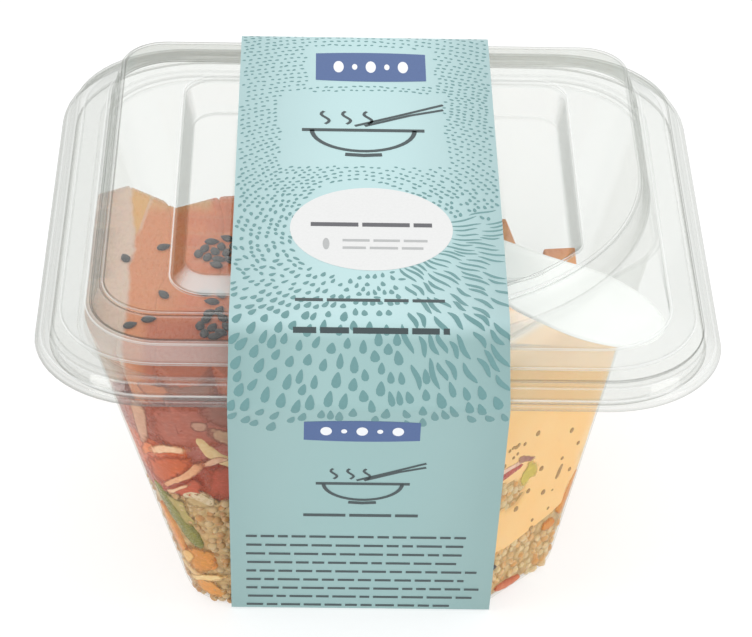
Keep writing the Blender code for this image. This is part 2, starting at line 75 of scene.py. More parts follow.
class Finish:
    # a material while its nodes are being joined
    def __init__(self, name):
        self.material = bpy.data.materials.new(name)
        self.material.use_nodes = True
        self.tree = self.material.node_tree
        self.tree.nodes.clear()

    def add(self, kind, settings=None, inputs=None, output=0):
        node = self.tree.nodes.new("ShaderNode" + kind)
        for key, value in (settings or {}).items():
            if key == "stops":
                self.setStops(node.color_ramp, value)
            else:
                setattr(node, key, value)
        for key, value in (inputs or {}).items():
            socket = node.inputs[key]
            if isinstance(value, Wire):
                self.tree.links.new(value.socket, socket)
            elif socket.type == "RGBA" and len(value) == 3:
                socket.default_value = (*value, 1)
            else:
                socket.default_value = value
        return Wire(self, node.outputs[output]) if len(node.outputs) else None

    def setStops(self, ramp, stops):
        while len(ramp.elements) > 1:
            ramp.elements.remove(ramp.elements[-1])
        for k, (place, colour) in enumerate(stops):
            stop = ramp.elements[0] if k == 0 else ramp.elements.new(place)
            stop.position = place
            stop.color = (*colour, 1)

    def blend(self, amount, first, second, how="MIX"):
        return self.add("Mix", {"data_type": "RGBA", "blend_type": how}, {0: amount, 6: first, 7: second}, 2)

    def soft(self, value, low, high):
        # 0 below low, 1 above high, smooth between
        settings = {"interpolation_type": "SMOOTHSTEP"}
        return self.add("MapRange", settings, {"Value": value, "From Min": low, "From Max": high})

    def place(self, stretch=(1, 1, 1)):
        # where a point lies on the object, in millimetres, stretched per axis
        spot = self.add("TexCoord", {}, {}, "Object")
        scale = tuple(s / mm for s in stretch)
        return self.add("VectorMath", {"operation": "MULTIPLY"}, {0: spot, 1: scale})

    def axis(self, letter):
        return self.add("SeparateXYZ", {}, {0: self.place()}, letter)

    def read(self, name):
        # a number that paint gave the mesh
        return self.add("Attribute", {"attribute_name": name}, {}, "Fac")

    def noise(self, size, detail=2.0, where=None, twist=0.0):
        # size is that of the pattern's blotches in millimetres
        inputs = {"Vector": where or self.place(), "Scale": 1 / size, "Detail": detail, "Distortion": twist}
        return self.add("TexNoise", {}, inputs)

    def bump(self, height, depth, strength=1.0):
        return self.add("Bump", {}, {"Height": height, "Distance": depth * mm, "Strength": strength})

    def over(self, amount, first, second):
        return self.add("MixShader", {}, {0: amount, 1: first, 2: second})

    def surface(self, colour, roughness, **others):
        named = {key.replace("_", " "): value for key, value in others.items()}
        return self.add("BsdfPrincipled", {}, {"Base Color": colour, "Roughness": roughness, **named})

    def moist(self, colour, roughness, bump, glow, reach, **others):
        # light goes a few millimetres in, furthest for red
        return self.done(self.surface(colour, roughness, Normal=bump, Subsurface_Weight=glow,
                                      Subsurface_Radius=tuple(r * mm for r in reach), **others))

    def done(self, shader):
        self.add("OutputMaterial", {}, {"Surface": shader})
        return self.material


# Mesh kit

def inScene(name, data):
    made = bpy.data.objects.new(name, data)
    bpy.context.scene.collection.objects.link(made)
    return made


def newPiece(name, points, faces, finish, slot, nodes=(), sharp=None):
    # the points are in millimetres
    points = [tuple(p) for p in np.asarray(points) * mm]
    mesh = bpy.data.meshes.new(name)
    mesh.from_pydata(points, [], [tuple(int(i) for i in f) for f in faces])
    mesh.validate()
    mesh.materials.append(finish)
    mesh.shade_smooth()
    if sharp:
        mesh.set_sharp_from_angle(angle=math.radians(sharp))
    piece = inScene(name, mesh)
    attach(piece, "root")
    if nodes:
        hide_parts(*nodes)
    return piece


def applied(piece):
    # the modifiers' result becomes the mesh
    graph = bpy.context.evaluated_depsgraph_get()
    made = bpy.data.meshes.new_from_object(piece.evaluated_get(graph))
    piece.modifiers.clear()
    piece.data = made
    return piece


def thicken(piece, thickness):
    shell = piece.modifiers.new("Wall", "SOLIDIFY")
    shell.thickness = thickness
    shell.offset = -1
    shell.use_even_offset = True
    return applied(piece)


def paint(mesh, name, values):
    # one number for each point of the mesh, which a finish reads by name
    layer = mesh.attributes.new(name, "FLOAT", "POINT")
    layer.data.foreach_set("value", np.asarray(values, np.float32))


def mix(a, b, t):
    return a + (b - a) * t


def ramp(start, end, value):
    t = min(max((value - start) / (end - start), 0), 1)
    return t * t * (3 - 2 * t)


def unit(v):
    return v / np.linalg.norm(v)


def travelled(line):
    # how far along a line of points each of them lies
    return np.concatenate([[0], np.cumsum(np.linalg.norm(np.diff(line, axis=0), axis=1))])


def curve(points, count, closed=False):
    # a smooth line or ring through the points, evenly parted
    points = np.asarray(points, float)
    steps = 10 if closed else 12
    if closed:
        ends = np.vstack([points[-1:], points, points[:2]])
    else:
        ends = np.vstack([2 * points[0] - points[1], points, 2 * points[-1] - points[-2]])
    made = []
    for p0, p1, p2, p3 in zip(ends, ends[1:], ends[2:], ends[3:]):
        for k in range(steps):
            t = k / steps
            made.append(0.5 * (2 * p1 + (p2 - p0) * t + (2 * p0 - 5 * p1 + 4 * p2 - p3) * t * t
                               + (3 * p1 - p0 - 3 * p2 + p3) * t ** 3))
    made = np.array(made + [made[0] if closed else points[-1]])
    run = travelled(made)
    at = np.linspace(0, run[-1], count, endpoint=not closed)
    return np.stack([np.interp(at, run, made[:, k]) for k in range(2)], 1)


def gridFaces(rows, count, closed=True):
    faces = []
    for row in range(rows - 1):
        for k in range(count if closed else count - 1):
            a, b = row * count + k, row * count + (k + 1) % count
            faces.append((a, b, b + count, a + count))
    return faces


def tubeFaces(rows, count):
    # closed at both ends
    ends = [tuple(range(count))[::-1], tuple(range((rows - 1) * count, rows * count))]
    return ends + gridFaces(rows, count)


def beadFaces(rows, count):
    # rings of points between a first point and a last one
    last = rows * count + 1
    faces = []
    for k in range(count):
        on = (k + 1) % count
        faces += [(0, 1 + k, 1 + on), (last, last - count + on, last - count + k)]
        for row in range(rows - 1):
            a, b = 1 + row * count + k, 1 + row * count + on
            faces.append((b, a, a + count, b + count))
    return faces


def repeated(faces, copies, step):
    # the faces of all copies of a shape, each with this many points
    return [tuple(i + copy * step for i in f) for copy in range(copies) for f in faces]


# Outlines, as the frame has them but with finer corners

tub = {
    "bottom": 0.8, "top": 74.2,
    "baseHalf": 40.0, "baseDepth": 42.0, "topHalf": 59.9,
    "baseCut": 66.4, "topCut": 70.5,        # the cut corner runs along x - y = this
    "baseRadius": 10.0, "topRadius": 20.2,
    "baseCutRadius": 8.4, "topCutRadius": 15.0,
    "wall": 0.4,                            # thinner than the frame's, as film-formed plastic is
    "cornerSteps": 14,
    "rimHalf": 66.7, "rimRadius": 22.0, "rimBack": 28.5, "rimDeep": 0.9, "bend": 0.7,
    # painted shade and painted highlight of each bend's lines, as pairs of how dark and how bright
    "paintedBendLight": [(0.3, 0.2), (0.2, 0.3), (0.1, 0.3), (0.25, 0.25), (0.05, 0.25), (0, 0), (0.1, 0.15), (0, 0)],
}
foodInset = tub["wall"] - 0.05               # food reaches just into the wall


def roundedCorner(corner, before, after, radius, steps):
    corner, before, after = (np.asarray(p, float) for p in (corner, before, after))
    back, on = unit(before - corner), unit(after - corner)
    halfAngle = math.acos(float(back @ on)) / 2
    centre = corner + unit(back + on) * radius / math.sin(halfAngle)
    start = corner + back * radius / math.tan(halfAngle) - centre
    leftward = back[1] * on[0] - back[0] * on[1] > 0
    turns = (math.pi - 2 * halfAngle) * np.arange(steps + 1) / steps * (1 if leftward else -1)
    x = np.cos(turns) * start[0] - np.sin(turns) * start[1]
    y = np.sin(turns) * start[0] + np.cos(turns) * start[1]
    return centre + np.stack([x, y], 1)


def outline(halfX, halfY, radius, cut=None, cutRadii=None, back=None, bulge=None, steps=None):
    # a rounded rectangle, anticlockwise; its back corners may have their own radius,
    # and its front right corner may be cut off or be a wider arc
    steps = steps or tub["cornerSteps"]
    backRight, backLeft = (halfX, halfY), (-halfX, halfY)
    frontLeft, frontRight = (-halfX, -halfY), (halfX, -halfY)
    corners = [
        roundedCorner(backRight, frontRight, backLeft, back or radius, steps),
        roundedCorner(backLeft, backRight, frontLeft, back or radius, steps),
        roundedCorner(frontLeft, backLeft, frontRight, radius, steps),
    ]
    if cut is None:
        corners.append(roundedCorner(frontRight, frontLeft, backRight, bulge or radius, 2 * steps + 1))
    else:
        first, second = (cut - halfY, -halfY), (halfX, halfX - cut)
        corners.append(roundedCorner(first, frontLeft, second, cutRadii[0], steps))
        corners.append(roundedCorner(second, first, backRight, cutRadii[1], steps))
    return np.vstack(corners)


def atHeight(points, z):
    return np.column_stack([points, np.full(len(points), z)])


def tubLoop(z, inset=0.0, steps=None):
    share = (z - tub["bottom"]) / (tub["top"] - tub["bottom"])
    halfX = mix(tub["baseHalf"], tub["topHalf"], share) - inset
    halfY = mix(tub["baseDepth"], tub["topHalf"], share) - inset
    radius = mix(tub["baseRadius"], tub["topRadius"], share) - inset / 2
    cut = mix(tub["baseCut"], tub["topCut"], share) - inset * math.sqrt(2)
    cutRadius = mix(tub["baseCutRadius"], tub["topCutRadius"], share) - inset / 2
    return outline(halfX, halfY, radius, cut, (cutRadius, cutRadius), steps=steps)


def softened(loops, reach, paintedBendLight, steps=8):
    # rounds the bends between the rows of a loft; each bend gets a painted shade line and a painted highlight
    # line, and a pair says how dark the one is and how bright the other
    count = len(loops[0])
    rows, lines = [loops[0]], [np.tile(paintedBendLight[0], (count, 1))]
    for before, row, after, (dark, bright) in zip(loops, loops[1:], loops[2:], paintedBendLight[1:]):
        away = np.maximum(np.linalg.norm(before - row, axis=1), 1e-6)
        onward = np.maximum(np.linalg.norm(after - row, axis=1), 1e-6)
        start = row + (before - row) * np.minimum(reach / away, 0.45)[:, None]
        end = row + (after - row) * np.minimum(reach / onward, 0.45)[:, None]
        for k in range(steps + 1):
            t = k / steps
            rows.append((1 - t) ** 2 * start + 2 * t * (1 - t) * row + t * t * end)
            # painted shade just past the bend's middle, painted highlight before it
            line = (dark * max(1 - abs(t - 0.6) / 0.25, 0), bright * max(1 - abs(t - 0.25) / 0.25, 0))
            lines.append(np.tile(line, (count, 1)))
    rows.append(loops[-1])
    lines.append(np.tile(paintedBendLight[-1], (count, 1)))
    return rows, lines


def loft(name, rows, lines, finish, slot, nodes, thickness):
    # a shell through rows of equally many points, closed over the last one
    count = len(rows[0])
    faces = gridFaces(len(rows), count)
    last = (len(rows) - 1) * count
    faces.append(tuple(range(last, last + count)))
    piece = newPiece(name, np.vstack(rows), faces, finish, slot, nodes)
    lines = np.vstack(lines)
    paint(piece.data, "dark", lines[:, 0])
    paint(piece.data, "bright", lines[:, 1])
    return thicken(piece, thickness * mm)


# Clear plastic: looks through, dims towards its edges, glossy; painted shade and painted highlight lie along
# its bends

lidPlastic = {"face": (0.94, 0.946, 0.936), "edge": (0.55, 0.57, 0.54), "haze": 0.022,
              "shine": 0.03, "rim": 0.5}
tubPlastic = {"face": (0.975, 0.978, 0.974), "edge": (0.84, 0.84, 0.82), "haze": 0.004,
              "shine": 0.012, "rim": 0.2}
# colours of the painted shade lines and the painted highlight lines
paintedLineColours = {"dark": (0.25, 0.26, 0.235), "bright": (0.9, 0.92, 0.91)}


def clearPlastic(name, look):
    shop = Finish(name)
    slant = shop.add("LayerWeight", {}, {"Blend": 0.5}, "Facing")
    face, edge, dark = (shop.add("BsdfTransparent", {}, {"Color": colour})
                        for colour in (look["face"], look["edge"], paintedLineColours["dark"]))
    body = shop.over(slant ** 4, face, edge)
    # painted shade: where the paint says dark, what shows through is darkened
    body = shop.over(shop.read("dark"), body, dark)
    # painted highlight: a whitish lit veil where the paint says bright, over the plastic's even haze
    hazeAndPaintedHighlight = shop.surface(paintedLineColours["bright"], 0.35)
    body = shop.over(shop.read("bright") * 0.7 + look["haze"], body, hazeAndPaintedHighlight)
    gloss = shop.add("BsdfGlossy", {}, {"Color": (1, 1, 1), "Roughness": 0.04})
    return shop.done(shop.over(slant ** 5 * look["rim"] + look["shine"], body, gloss))


def makeTub(finish):
    top = tub["top"]
    rim, radius, back = tub["rimHalf"], tub["rimRadius"], tub["rimBack"]
    loops = [
        atHeight(outline(rim, rim, radius, back=back), top - tub["rimDeep"]),
        atHeight(outline(rim - 0.2, rim - 0.2, radius, back=back), top),
        atHeight(tubLoop(top, -1.4), top),
        atHeight(tubLoop(top, -0.3), top - 0.5),
        atHeight(tubLoop(top - 1.4), top - 1.4),
        atHeight(tubLoop(3.4), 3.4),
        atHeight(tubLoop(1.5, 0.15), 1.5),
        atHeight(tubLoop(tub["bottom"], 0.9), tub["bottom"]),
    ]
    rows, lines = softened(loops, tub["bend"], tub["paintedBendLight"])
    rows, lines = [row[::-1] for row in rows], [line[::-1] for line in lines]
    return loft("clearTub", rows, lines, finish, "clear_plastic", ["tub"], tub["wall"])


# Half lengths in x and y, corner radius and height; then the back corners' radius, the wide arc's
# at the front right, or for the well its shift in y, its cut corner and that corner's two radii
lid = {
    "wall": 0.5, "bend": 0.6, "bendSteps": 8,
    "flange": [
        (70.0, 70.0, 24.7, 73.9, 31.0), (69.6, 69.6, 24.3, 75.0, 30.5), (68.6, 68.4, 23.3, 75.7, 28.5),
        (67.3, 66.6, 21.6, 77.4, 25.0), (66.4, 65.2, 20.8, 77.9, 23.5), (65.0, 61.2, 20.4, 78.4, 22.0),
        (59.6, 56.8, 15.5, 80.2, 15.5),
    ],
    "dome": [
        (59.0, 56.3, 15.0, 80.2, 15.0, 60.6), (56.9, 55.2, 12.5, 85.6, 9.8, 58.8),
        (56.1, 54.4, 12.0, 86.15, 9.3, 57.9),
    ],
    "well": [
        (42.3, 43.7, 7.5, 86.15, -4.4, 71.3, 45.0, 6.0), (41.9, 43.1, 7.1, 85.75, -4.4, 70.8, 44.0, 5.6),
        (39.9, 32.4, 5.4, 83.0, -3.9, 67.4, 8.0, 5.0), (39.3, 31.1, 5.0, 82.6, -3.9, 66.5, 7.5, 4.5),
    ],
    # painted shade and painted highlight of each bend's lines, as pairs of how dark and how bright
    "paintedBendLight": [(0.35, 0.1), (0.1, 0.2), (0.1, 0.5), (0.3, 0.3), (0.85, 0.2), (0.35, 0.7), (0.2, 0.6),
              (0.85, 0.1), (0.6, 0.2), (0.65, 0.45), (0.2, 0.8), (0.3, 0.3), (0.3, 0.2), (0, 0)],
    # painted shade on the well's steep sides and on the flange at the left; painted sheen on the well's front
    # ramp and on the ledge
    "paintedWellShade": 0.12, "paintedRampSheen": 0.6, "flangeShade": 0.09, "paintedLedgeSheen": 0.2,
    # how much of each bend's painted shade line shows at the left and at the right
    "darkShares": [(0.8, 0.4), (1, 0.5), (1, 0.5), (0.4, 0.4), (0.25, 0.9), (0.5, 0.4), (0.8, 0.4),
                   (1, 0.25), (1, 0.5), (1, 0.3)],
}


def makeLid(finish):
    loops = []
    for halfX, halfY, radius, z, back in lid["flange"]:
        loops.append(atHeight(outline(halfX, halfY, radius, back=back), z))
    for halfX, halfY, radius, z, back, bulge in lid["dome"]:
        loops.append(atHeight(outline(halfX, halfY, radius, back=back, bulge=bulge), z))
    for halfX, halfY, radius, z, shift, cut, wide, tight in lid["well"]:
        loop = outline(halfX, halfY, radius, cut + shift, (wide, tight))
        loops.append(atHeight(loop + np.array([0, shift]), z))
    rows, lines = softened(loops, lid["bend"], lid["paintedBendLight"], lid["bendSteps"])
    # painted shade: the flange is darker at the left, and so are the well's steep sides;
    # painted sheen: the ledge and the sloping front are whitish
    bend = lid["bendSteps"] + 1
    for row, line in enumerate(lines):
        toRight = np.array([ramp(-30, 30, x) for x in rows[row][:, 0]])
        shade = lid["flangeShade"] * ramp(9 * bend, 6 * bend, row) * (1 - toRight)
        ledgeSheen = lid["paintedLedgeSheen"] * ramp(4.2 * bend, 5 * bend, row) * ramp(6.9 * bend, 6.2 * bend, row)
        left, right = lid["darkShares"][min((row + bend - 1) // bend, 9)]
        shares = np.array([mix(left, right, ramp(-25, 25, x)) for x in rows[row][:, 0]])
        lines[row] = np.stack([line[:, 0] * shares + shade, line[:, 1] + ledgeSheen], 1)
    wall = 1 + bend * 11
    for row in (wall - 1, wall):
        onward, back = np.roll(rows[row], -1, 0), np.roll(rows[row], 1, 0)
        along = (onward - back)[:, :2]
        along /= np.maximum(np.linalg.norm(along, axis=1), 1e-6)[:, None]
        for k, (x, y) in enumerate(along):
            lines[row][k] = (lid["paintedWellShade"] * ramp(0.8, 0.97, abs(y)), lid["paintedRampSheen"] * ramp(0.2, 0.9, x))
    return loft("clearLid", rows, lines, finish, "clear_plastic", ["lid"], lid["wall"])


makeTub(clearPlastic("clear tub plastic", tubPlastic))
makeLid(clearPlastic("clear lid plastic", lidPlastic))
print("tub and lid made")


# Card sleeve: a band round the pack, printed with ripples of dashes

sleeve = {
    "left": -30.2, "right": 25.8, "card": 0.4,
    "shrink": 0.16, "middle": (0, 43.5),    # drawn in, so that the print keeps within the frame's card
    "corners": [                            # y, z and bend radius, from the front foot round
        (-42.4, 0.0, 1.0), (-71.3, 74.8, 1.6), (-56.9, 86.9, 5.0),
        (56.9, 86.9, 5.0), (71.3, 74.8, 1.6), (42.4, 0.0, 1.0),
    ],
    # front is a painted shade of the ground colour: the card is darker on its upright front than on the top
    "ground": (0.52, 0.72, 0.73), "front": (0.32, 0.49, 0.485),
    "cloud": (0.36, 0.6, 0.62), "grain": (0.3, 0.5, 0.5),
    "dash": (0.135, 0.28, 0.285), "ink": (0.045, 0.065, 0.07),
    "bar": (0.06, 0.115, 0.28), "label": (0.72, 0.725, 0.72), "greyInk": (0.42, 0.43, 0.43),
    "titleInk": (0.1, 0.1, 0.11), "pips": (0.85, 0.87, 0.9),
}


def sleevePath():
    # the outside of the card as a closed line in y and z, with the bends rounded
    corners = sleeve["corners"]
    line = []
    for k, (y, z, radius) in enumerate(corners):
        before, after = corners[k - 1], corners[(k + 1) % len(corners)]
        line.append(roundedCorner((y, z), before[:2], after[:2], radius, 8))
    line = np.vstack(line)
    middle = np.array(sleeve["middle"])
    away = line - middle
    return middle + away * (1 - sleeve["shrink"] / np.linalg.norm(away, axis=1))[:, None]


sleeveLine = sleevePath()
closedLine = np.vstack([sleeveLine, sleeveLine[:1]])
sleeveRun = travelled(closedLine)


def onSleeve(x, s, lift=0.0):
    # s runs up the front from its foot, over the slope and the top to the back
    k = int(np.clip(np.searchsorted(sleeveRun, s) - 1, 0, len(sleeveRun) - 2))
    a, b = closedLine[k], closedLine[k + 1]
    spot = a + (b - a) * (s - sleeveRun[k]) / (sleeveRun[k + 1] - sleeveRun[k])
    along = unit(b - a)
    out = np.array([-along[1], along[0]])
    y, z = spot + out * lift
    return (x, y, z)


def cardFinish():
    shop = Finish("printed card")
    grain = shop.noise(0.35, 4)
    broad = shop.noise(30, 1)
    high = shop.axis("Z")
    # painted shade: darker on the front and slope, lighter where the card lies flat on top
    paintedTopLight = shop.soft(high, 83.4, 86.7)
    ground = shop.blend(paintedTopLight, sleeve["front"], sleeve["ground"])
    ground = shop.blend(broad * 0.15, ground, sleeve["cloud"])
    ground = shop.blend(grain * 0.12, ground, sleeve["grain"])
    bump = shop.bump(grain, 0.02, 0.4)
    return shop.done(shop.surface(ground, 0.42 + grain * 0.1, Normal=bump, Specular_IOR_Level=0.4))


def inkFinish(name, colour, roughness=0.45):
    shop = Finish(name)
    wear = shop.noise(0.5, 3)
    shade = shop.blend(wear * 0.25, colour, tuple(min(c * 1.5 + 0.02, 1) for c in colour))
    return shop.done(shop.surface(shade, roughness, Specular_IOR_Level=0.4))


def makeSleeve():
    count = len(sleeveLine)
    points = [(x, y, z) for x in (sleeve["left"], sleeve["right"]) for y, z in sleeveLine]
    faces = [(k, k + count, (k + 1) % count + count, (k + 1) % count) for k in range(count)]
    piece = newPiece("cardSleeve", points, faces, cardFinish(), "printed_card", ["sleeve"], 50)
    return thicken(piece, sleeve["card"] * mm)


def between(line, low, high):
    # the part of an outline that lies between two values of s
    for limit, way in ((low, 1), (high, -1)):
        kept = []
        for (x0, s0), (x1, s1) in zip(line, line[1:] + line[:1]):
            inside, onward = (s0 - limit) * way >= 0, (s1 - limit) * way >= 0
            if inside:
                kept.append((x0, s0))
            if inside != onward:
                kept.append((x0 + (x1 - x0) * (limit - s0) / (s1 - s0), limit))
        line = kept
    return line


class Print:
    # flat shapes in one ink, a hair above the card, joined in one mesh
    def __init__(self, lift):
        self.points = []
        self.faces = []
        self.lift = lift

    def shape(self, line):
        # an outline in x and s becomes a thin plate, or several that meet where the card bends
        line = [(float(x), float(s)) for x, s in line]
        heights = [s for x, s in line]
        breaks = [s for s in sleeveRun if min(heights) < s < max(heights)]
        for low, high in zip([-1, *breaks], [*breaks, 999]):
            self.plate(between(line, low, high))

    def plate(self, line):
        first, count = len(self.points), len(line)
        for lift in (self.lift, self.lift - 0.02):
            self.points += [onSleeve(min(max(x, sleeve["left"]), sleeve["right"]), s, lift) for x, s in line]
        self.faces.append(tuple(range(first, first + count)))
        self.faces.append(tuple(range(first + 2 * count - 1, first + count - 1, -1)))
        for k in range(count):
            on = (k + 1) % count
            self.faces.append((first + on, first + k, first + count + k, first + count + on))

    def band(self, line, width):
        # a line of points drawn with this width, as a chain of small plates
        line = np.asarray(line, float)
        along = np.gradient(line, axis=0)
        side = np.stack([-along[:, 1], along[:, 0]], 1)
        side /= np.maximum(np.linalg.norm(side, axis=1), 1e-9)[:, None]
        width = np.broadcast_to(width, len(line))[:, None] / 2
        left, right = line + side * width, line - side * width
        for k in range(len(line) - 1):
            self.shape([left[k], right[k], right[k + 1], left[k + 1]])

    def block(self, x0, x1, s0, s1):
        self.shape([(x0, s0), (x1, s0), (x1, s1), (x0, s1)])

    def oval(self, x, s, halfX, halfS, count=64):
        turns = np.linspace(0, 2 * math.pi, count, endpoint=False)
        self.shape([(x + halfX * math.cos(t), s + halfS * math.sin(t)) for t in turns])

    def lay(self, name, finish):
        # outlines turn either way round, so the normals are set right afterwards
        piece = newPiece(name, self.points, self.faces, finish, "printed_card", [], 30)
        body = bmesh.new()
        body.from_mesh(piece.data)
        bmesh.ops.recalc_face_normals(body, faces=body.faces)
        body.to_mesh(piece.data)
        body.free()
        return piece


# Where the print lies, in x and s: bars as corners, rules as start, end, place and height
layout = {
    "topBar": (-13.3, 11.3, 192.0, 204.8), "topMotif": (-2.9, 171.0),
    "oval": (-1.5, 131.6, 16.9, 15.8),
    "topRules": [(-17.1, 13.0, 105.0, 1.7), (-17.4, 13.8, 96.3, 2.0)],
    "frontBar": (-15.0, 8.3, 68.6, 76.2), "frontMotif": (-2.8, 52.5),
    "frontRule": (-14.9, 8.9, 40.0, 1.7),
    "rows": [31.2, 27.6, 24.0, 20.4, 16.8, 13.2, 9.6, 6.0, 2.4],
}


def inStrokes(x, s):
    # how surely a place belongs to the long strokes at the right
    return ramp(3, 9, x) * ramp(84, 90, s) * ramp(140, 131, s)


def inDrops(x, s):
    return ramp(124, 104, s) * (1 - inStrokes(x, s))


def inDots(x, s):
    return ramp(102, 120, s) * (1 - inStrokes(x, s))


# Marks in rings round the label; each kind has its rings' pitch, the step along them and where it lies
ripples = {
    "inner": 16.5, "outer": 112, "gap": 0.12,
    "kinds": {"strokes": (1.7, 1.7, inStrokes), "drops": (1.7, 1.7, inDrops), "dots": (1.45, 1.6, inDots)},
    "clear": [(-15.3, 13.3, 190, 206.8), (-21, 15, 156, 187)],
}


def placed(x, s, turn, line):
    # an outline in its own axes, turned and moved
    return [(x + a * math.cos(turn) - b * math.sin(turn), s + a * math.sin(turn) + b * math.cos(turn))
            for a, b in line]


def dropShape(length, width, taper):
    turns = np.linspace(0, 2 * math.pi, 11, endpoint=False)
    return [(length / 2 * math.cos(t), width / 2 * math.sin(t) * (1 - taper * math.cos(t))) for t in turns]


def strokeShape(length, width, phase):
    # a wavy stroke that is pointed at both ends
    line = []
    for way in (1, -1):
        for t in np.linspace(-1, 1, 8)[::way]:
            side = way * width / 2 * math.sqrt(max(1 - t * t, 0.02))
            line.append((length / 2 * t, 0.3 * math.sin(2.4 * t + phase) + side))
    return line


def markShape(kind, x, s, angle, chance):
    # drops near the front, long strokes at the right, small dots behind
    if kind == "drops":
        near = ramp(112, 90, s)
        turn = angle + math.pi + chance.uniform(-0.2, 0.2)
        length = mix(1.8, 3.2, near) * chance.uniform(0.75, 1.1)
        width = mix(0.9, 1.7, near) * chance.uniform(0.75, 1.1)
        line = dropShape(length, width, 0.45)
    elif kind == "strokes":
        turn = angle + 0.12 + chance.uniform(-0.08, 0.08)
        length, width = chance.uniform(3.8, 7.0), mix(0.6, 1.15, ramp(125, 95, s))
        line = strokeShape(length, width, x)
    else:
        far = ramp(125, 160, s)
        turn = angle + math.pi / 2 + chance.uniform(-0.4, 0.4)
        length, width = mix(1.5, 0.95, far) * chance.uniform(0.7, 1.2), mix(0.8, 0.55, far)
        line = dropShape(length, width, 0.2)
    return placed(x, s, turn, line), turn, length, width


def ringPlaces(pitch, step, chance):
    centreX, centreS = layout["oval"][:2]
    ring = ripples["inner"]
    while ring < ripples["outer"]:
        ring += pitch
        count = int(2 * math.pi * ring / step)
        start = chance.uniform(0, 2 * math.pi)
        for k in range(count):
            angle = start + 2 * math.pi * (k + chance.uniform(-0.15, 0.15)) / count
            away = ring + chance.uniform(-0.15, 0.15) * pitch + 1.6 * math.sin(3 * angle + ring / 9)
            yield angle, centreX + away * math.cos(angle), centreS + 1.02 * away * math.sin(angle)


def isFree(x, s):
    onCard = sleeve["left"] + 0.6 < x < sleeve["right"] - 0.6 and 72 < s < 212.4
    return onCard and not any(a < x < b and c < s < d for a, b, c, d in ripples["clear"])


def makeDashes():
    ink = Print(0.03)
    chance = random.Random(3)
    laid = np.empty((0, 3))
    for kind, (pitch, step, likely) in ripples["kinds"].items():
        for angle, x, s in ringPlaces(pitch, step, chance):
            if not isFree(x, s) or chance.random() > likely(x, s) * ramp(72, 80, s):
                continue
            line, turn, length, width = markShape(kind, x, s, angle, chance)
            # nothing overlaps: each mark is tested as a row of round spots
            reach = max(length - width, 0) / 2
            spots = np.array([(x + reach * t * math.cos(turn), s + reach * t * math.sin(turn),
                               width / 2 + ripples["gap"]) for t in (-1, -0.5, 0, 0.5, 1)])
            gaps = np.hypot(*(spots[:, None, :2] - laid[None, :, :2]).transpose(2, 0, 1))
            if (gaps > spots[:, None, 2] + laid[None, :, 2]).all():
                laid = np.vstack([laid, spots])
                ink.shape(line)
    ink.lay("sleeveDashes", inkFinish("dash ink", sleeve["dash"]))


def bowlMotif(ink, x, s, half, thick):
    # a plain bowl with a pair of sticks, drawn with a pen
    turns = np.linspace(math.pi, 2 * math.pi, 22)
    ink.band([(x + 0.62 * half * math.cos(t), s + 0.62 * half * 0.78 * math.sin(t)) for t in turns], thick)
    ink.band([(x - 0.74 * half, s), (x, s), (x + 0.74 * half, s)], thick * 1.2)
    foot = [(x - 0.22 * half, s - 0.56 * half), (x, s - 0.58 * half), (x + 0.22 * half, s - 0.56 * half)]
    ink.band(foot, thick * 1.3)
    for side in (0.0, 0.12):
        ink.band([(x - 0.1 * half + side * half, s + 0.1 * half),
                  (x + 0.45 * half + side * half, s + 0.36 * half),
                  (x + 0.98 * half, s + 0.62 * half - side * half)], thick * 0.8)
    for k in (-1, 0, 1):
        wave = [(x + (0.26 * k - 0.2) * half + 0.05 * half * math.sin(6 * t), s + (0.14 + 0.3 * t) * half)
                for t in np.linspace(0, 1, 9)]
        ink.band(wave, thick * 0.7)


def brokenRule(ink, x0, x1, s, height, chance, words=(2.0, 5.5), gap=0.8):
    x = x0
    while x < x1 - 1:
        end = min(x + chance.uniform(*words), x1)
        ink.block(x, end, s - height / 2, s + height / 2)
        x = end + gap


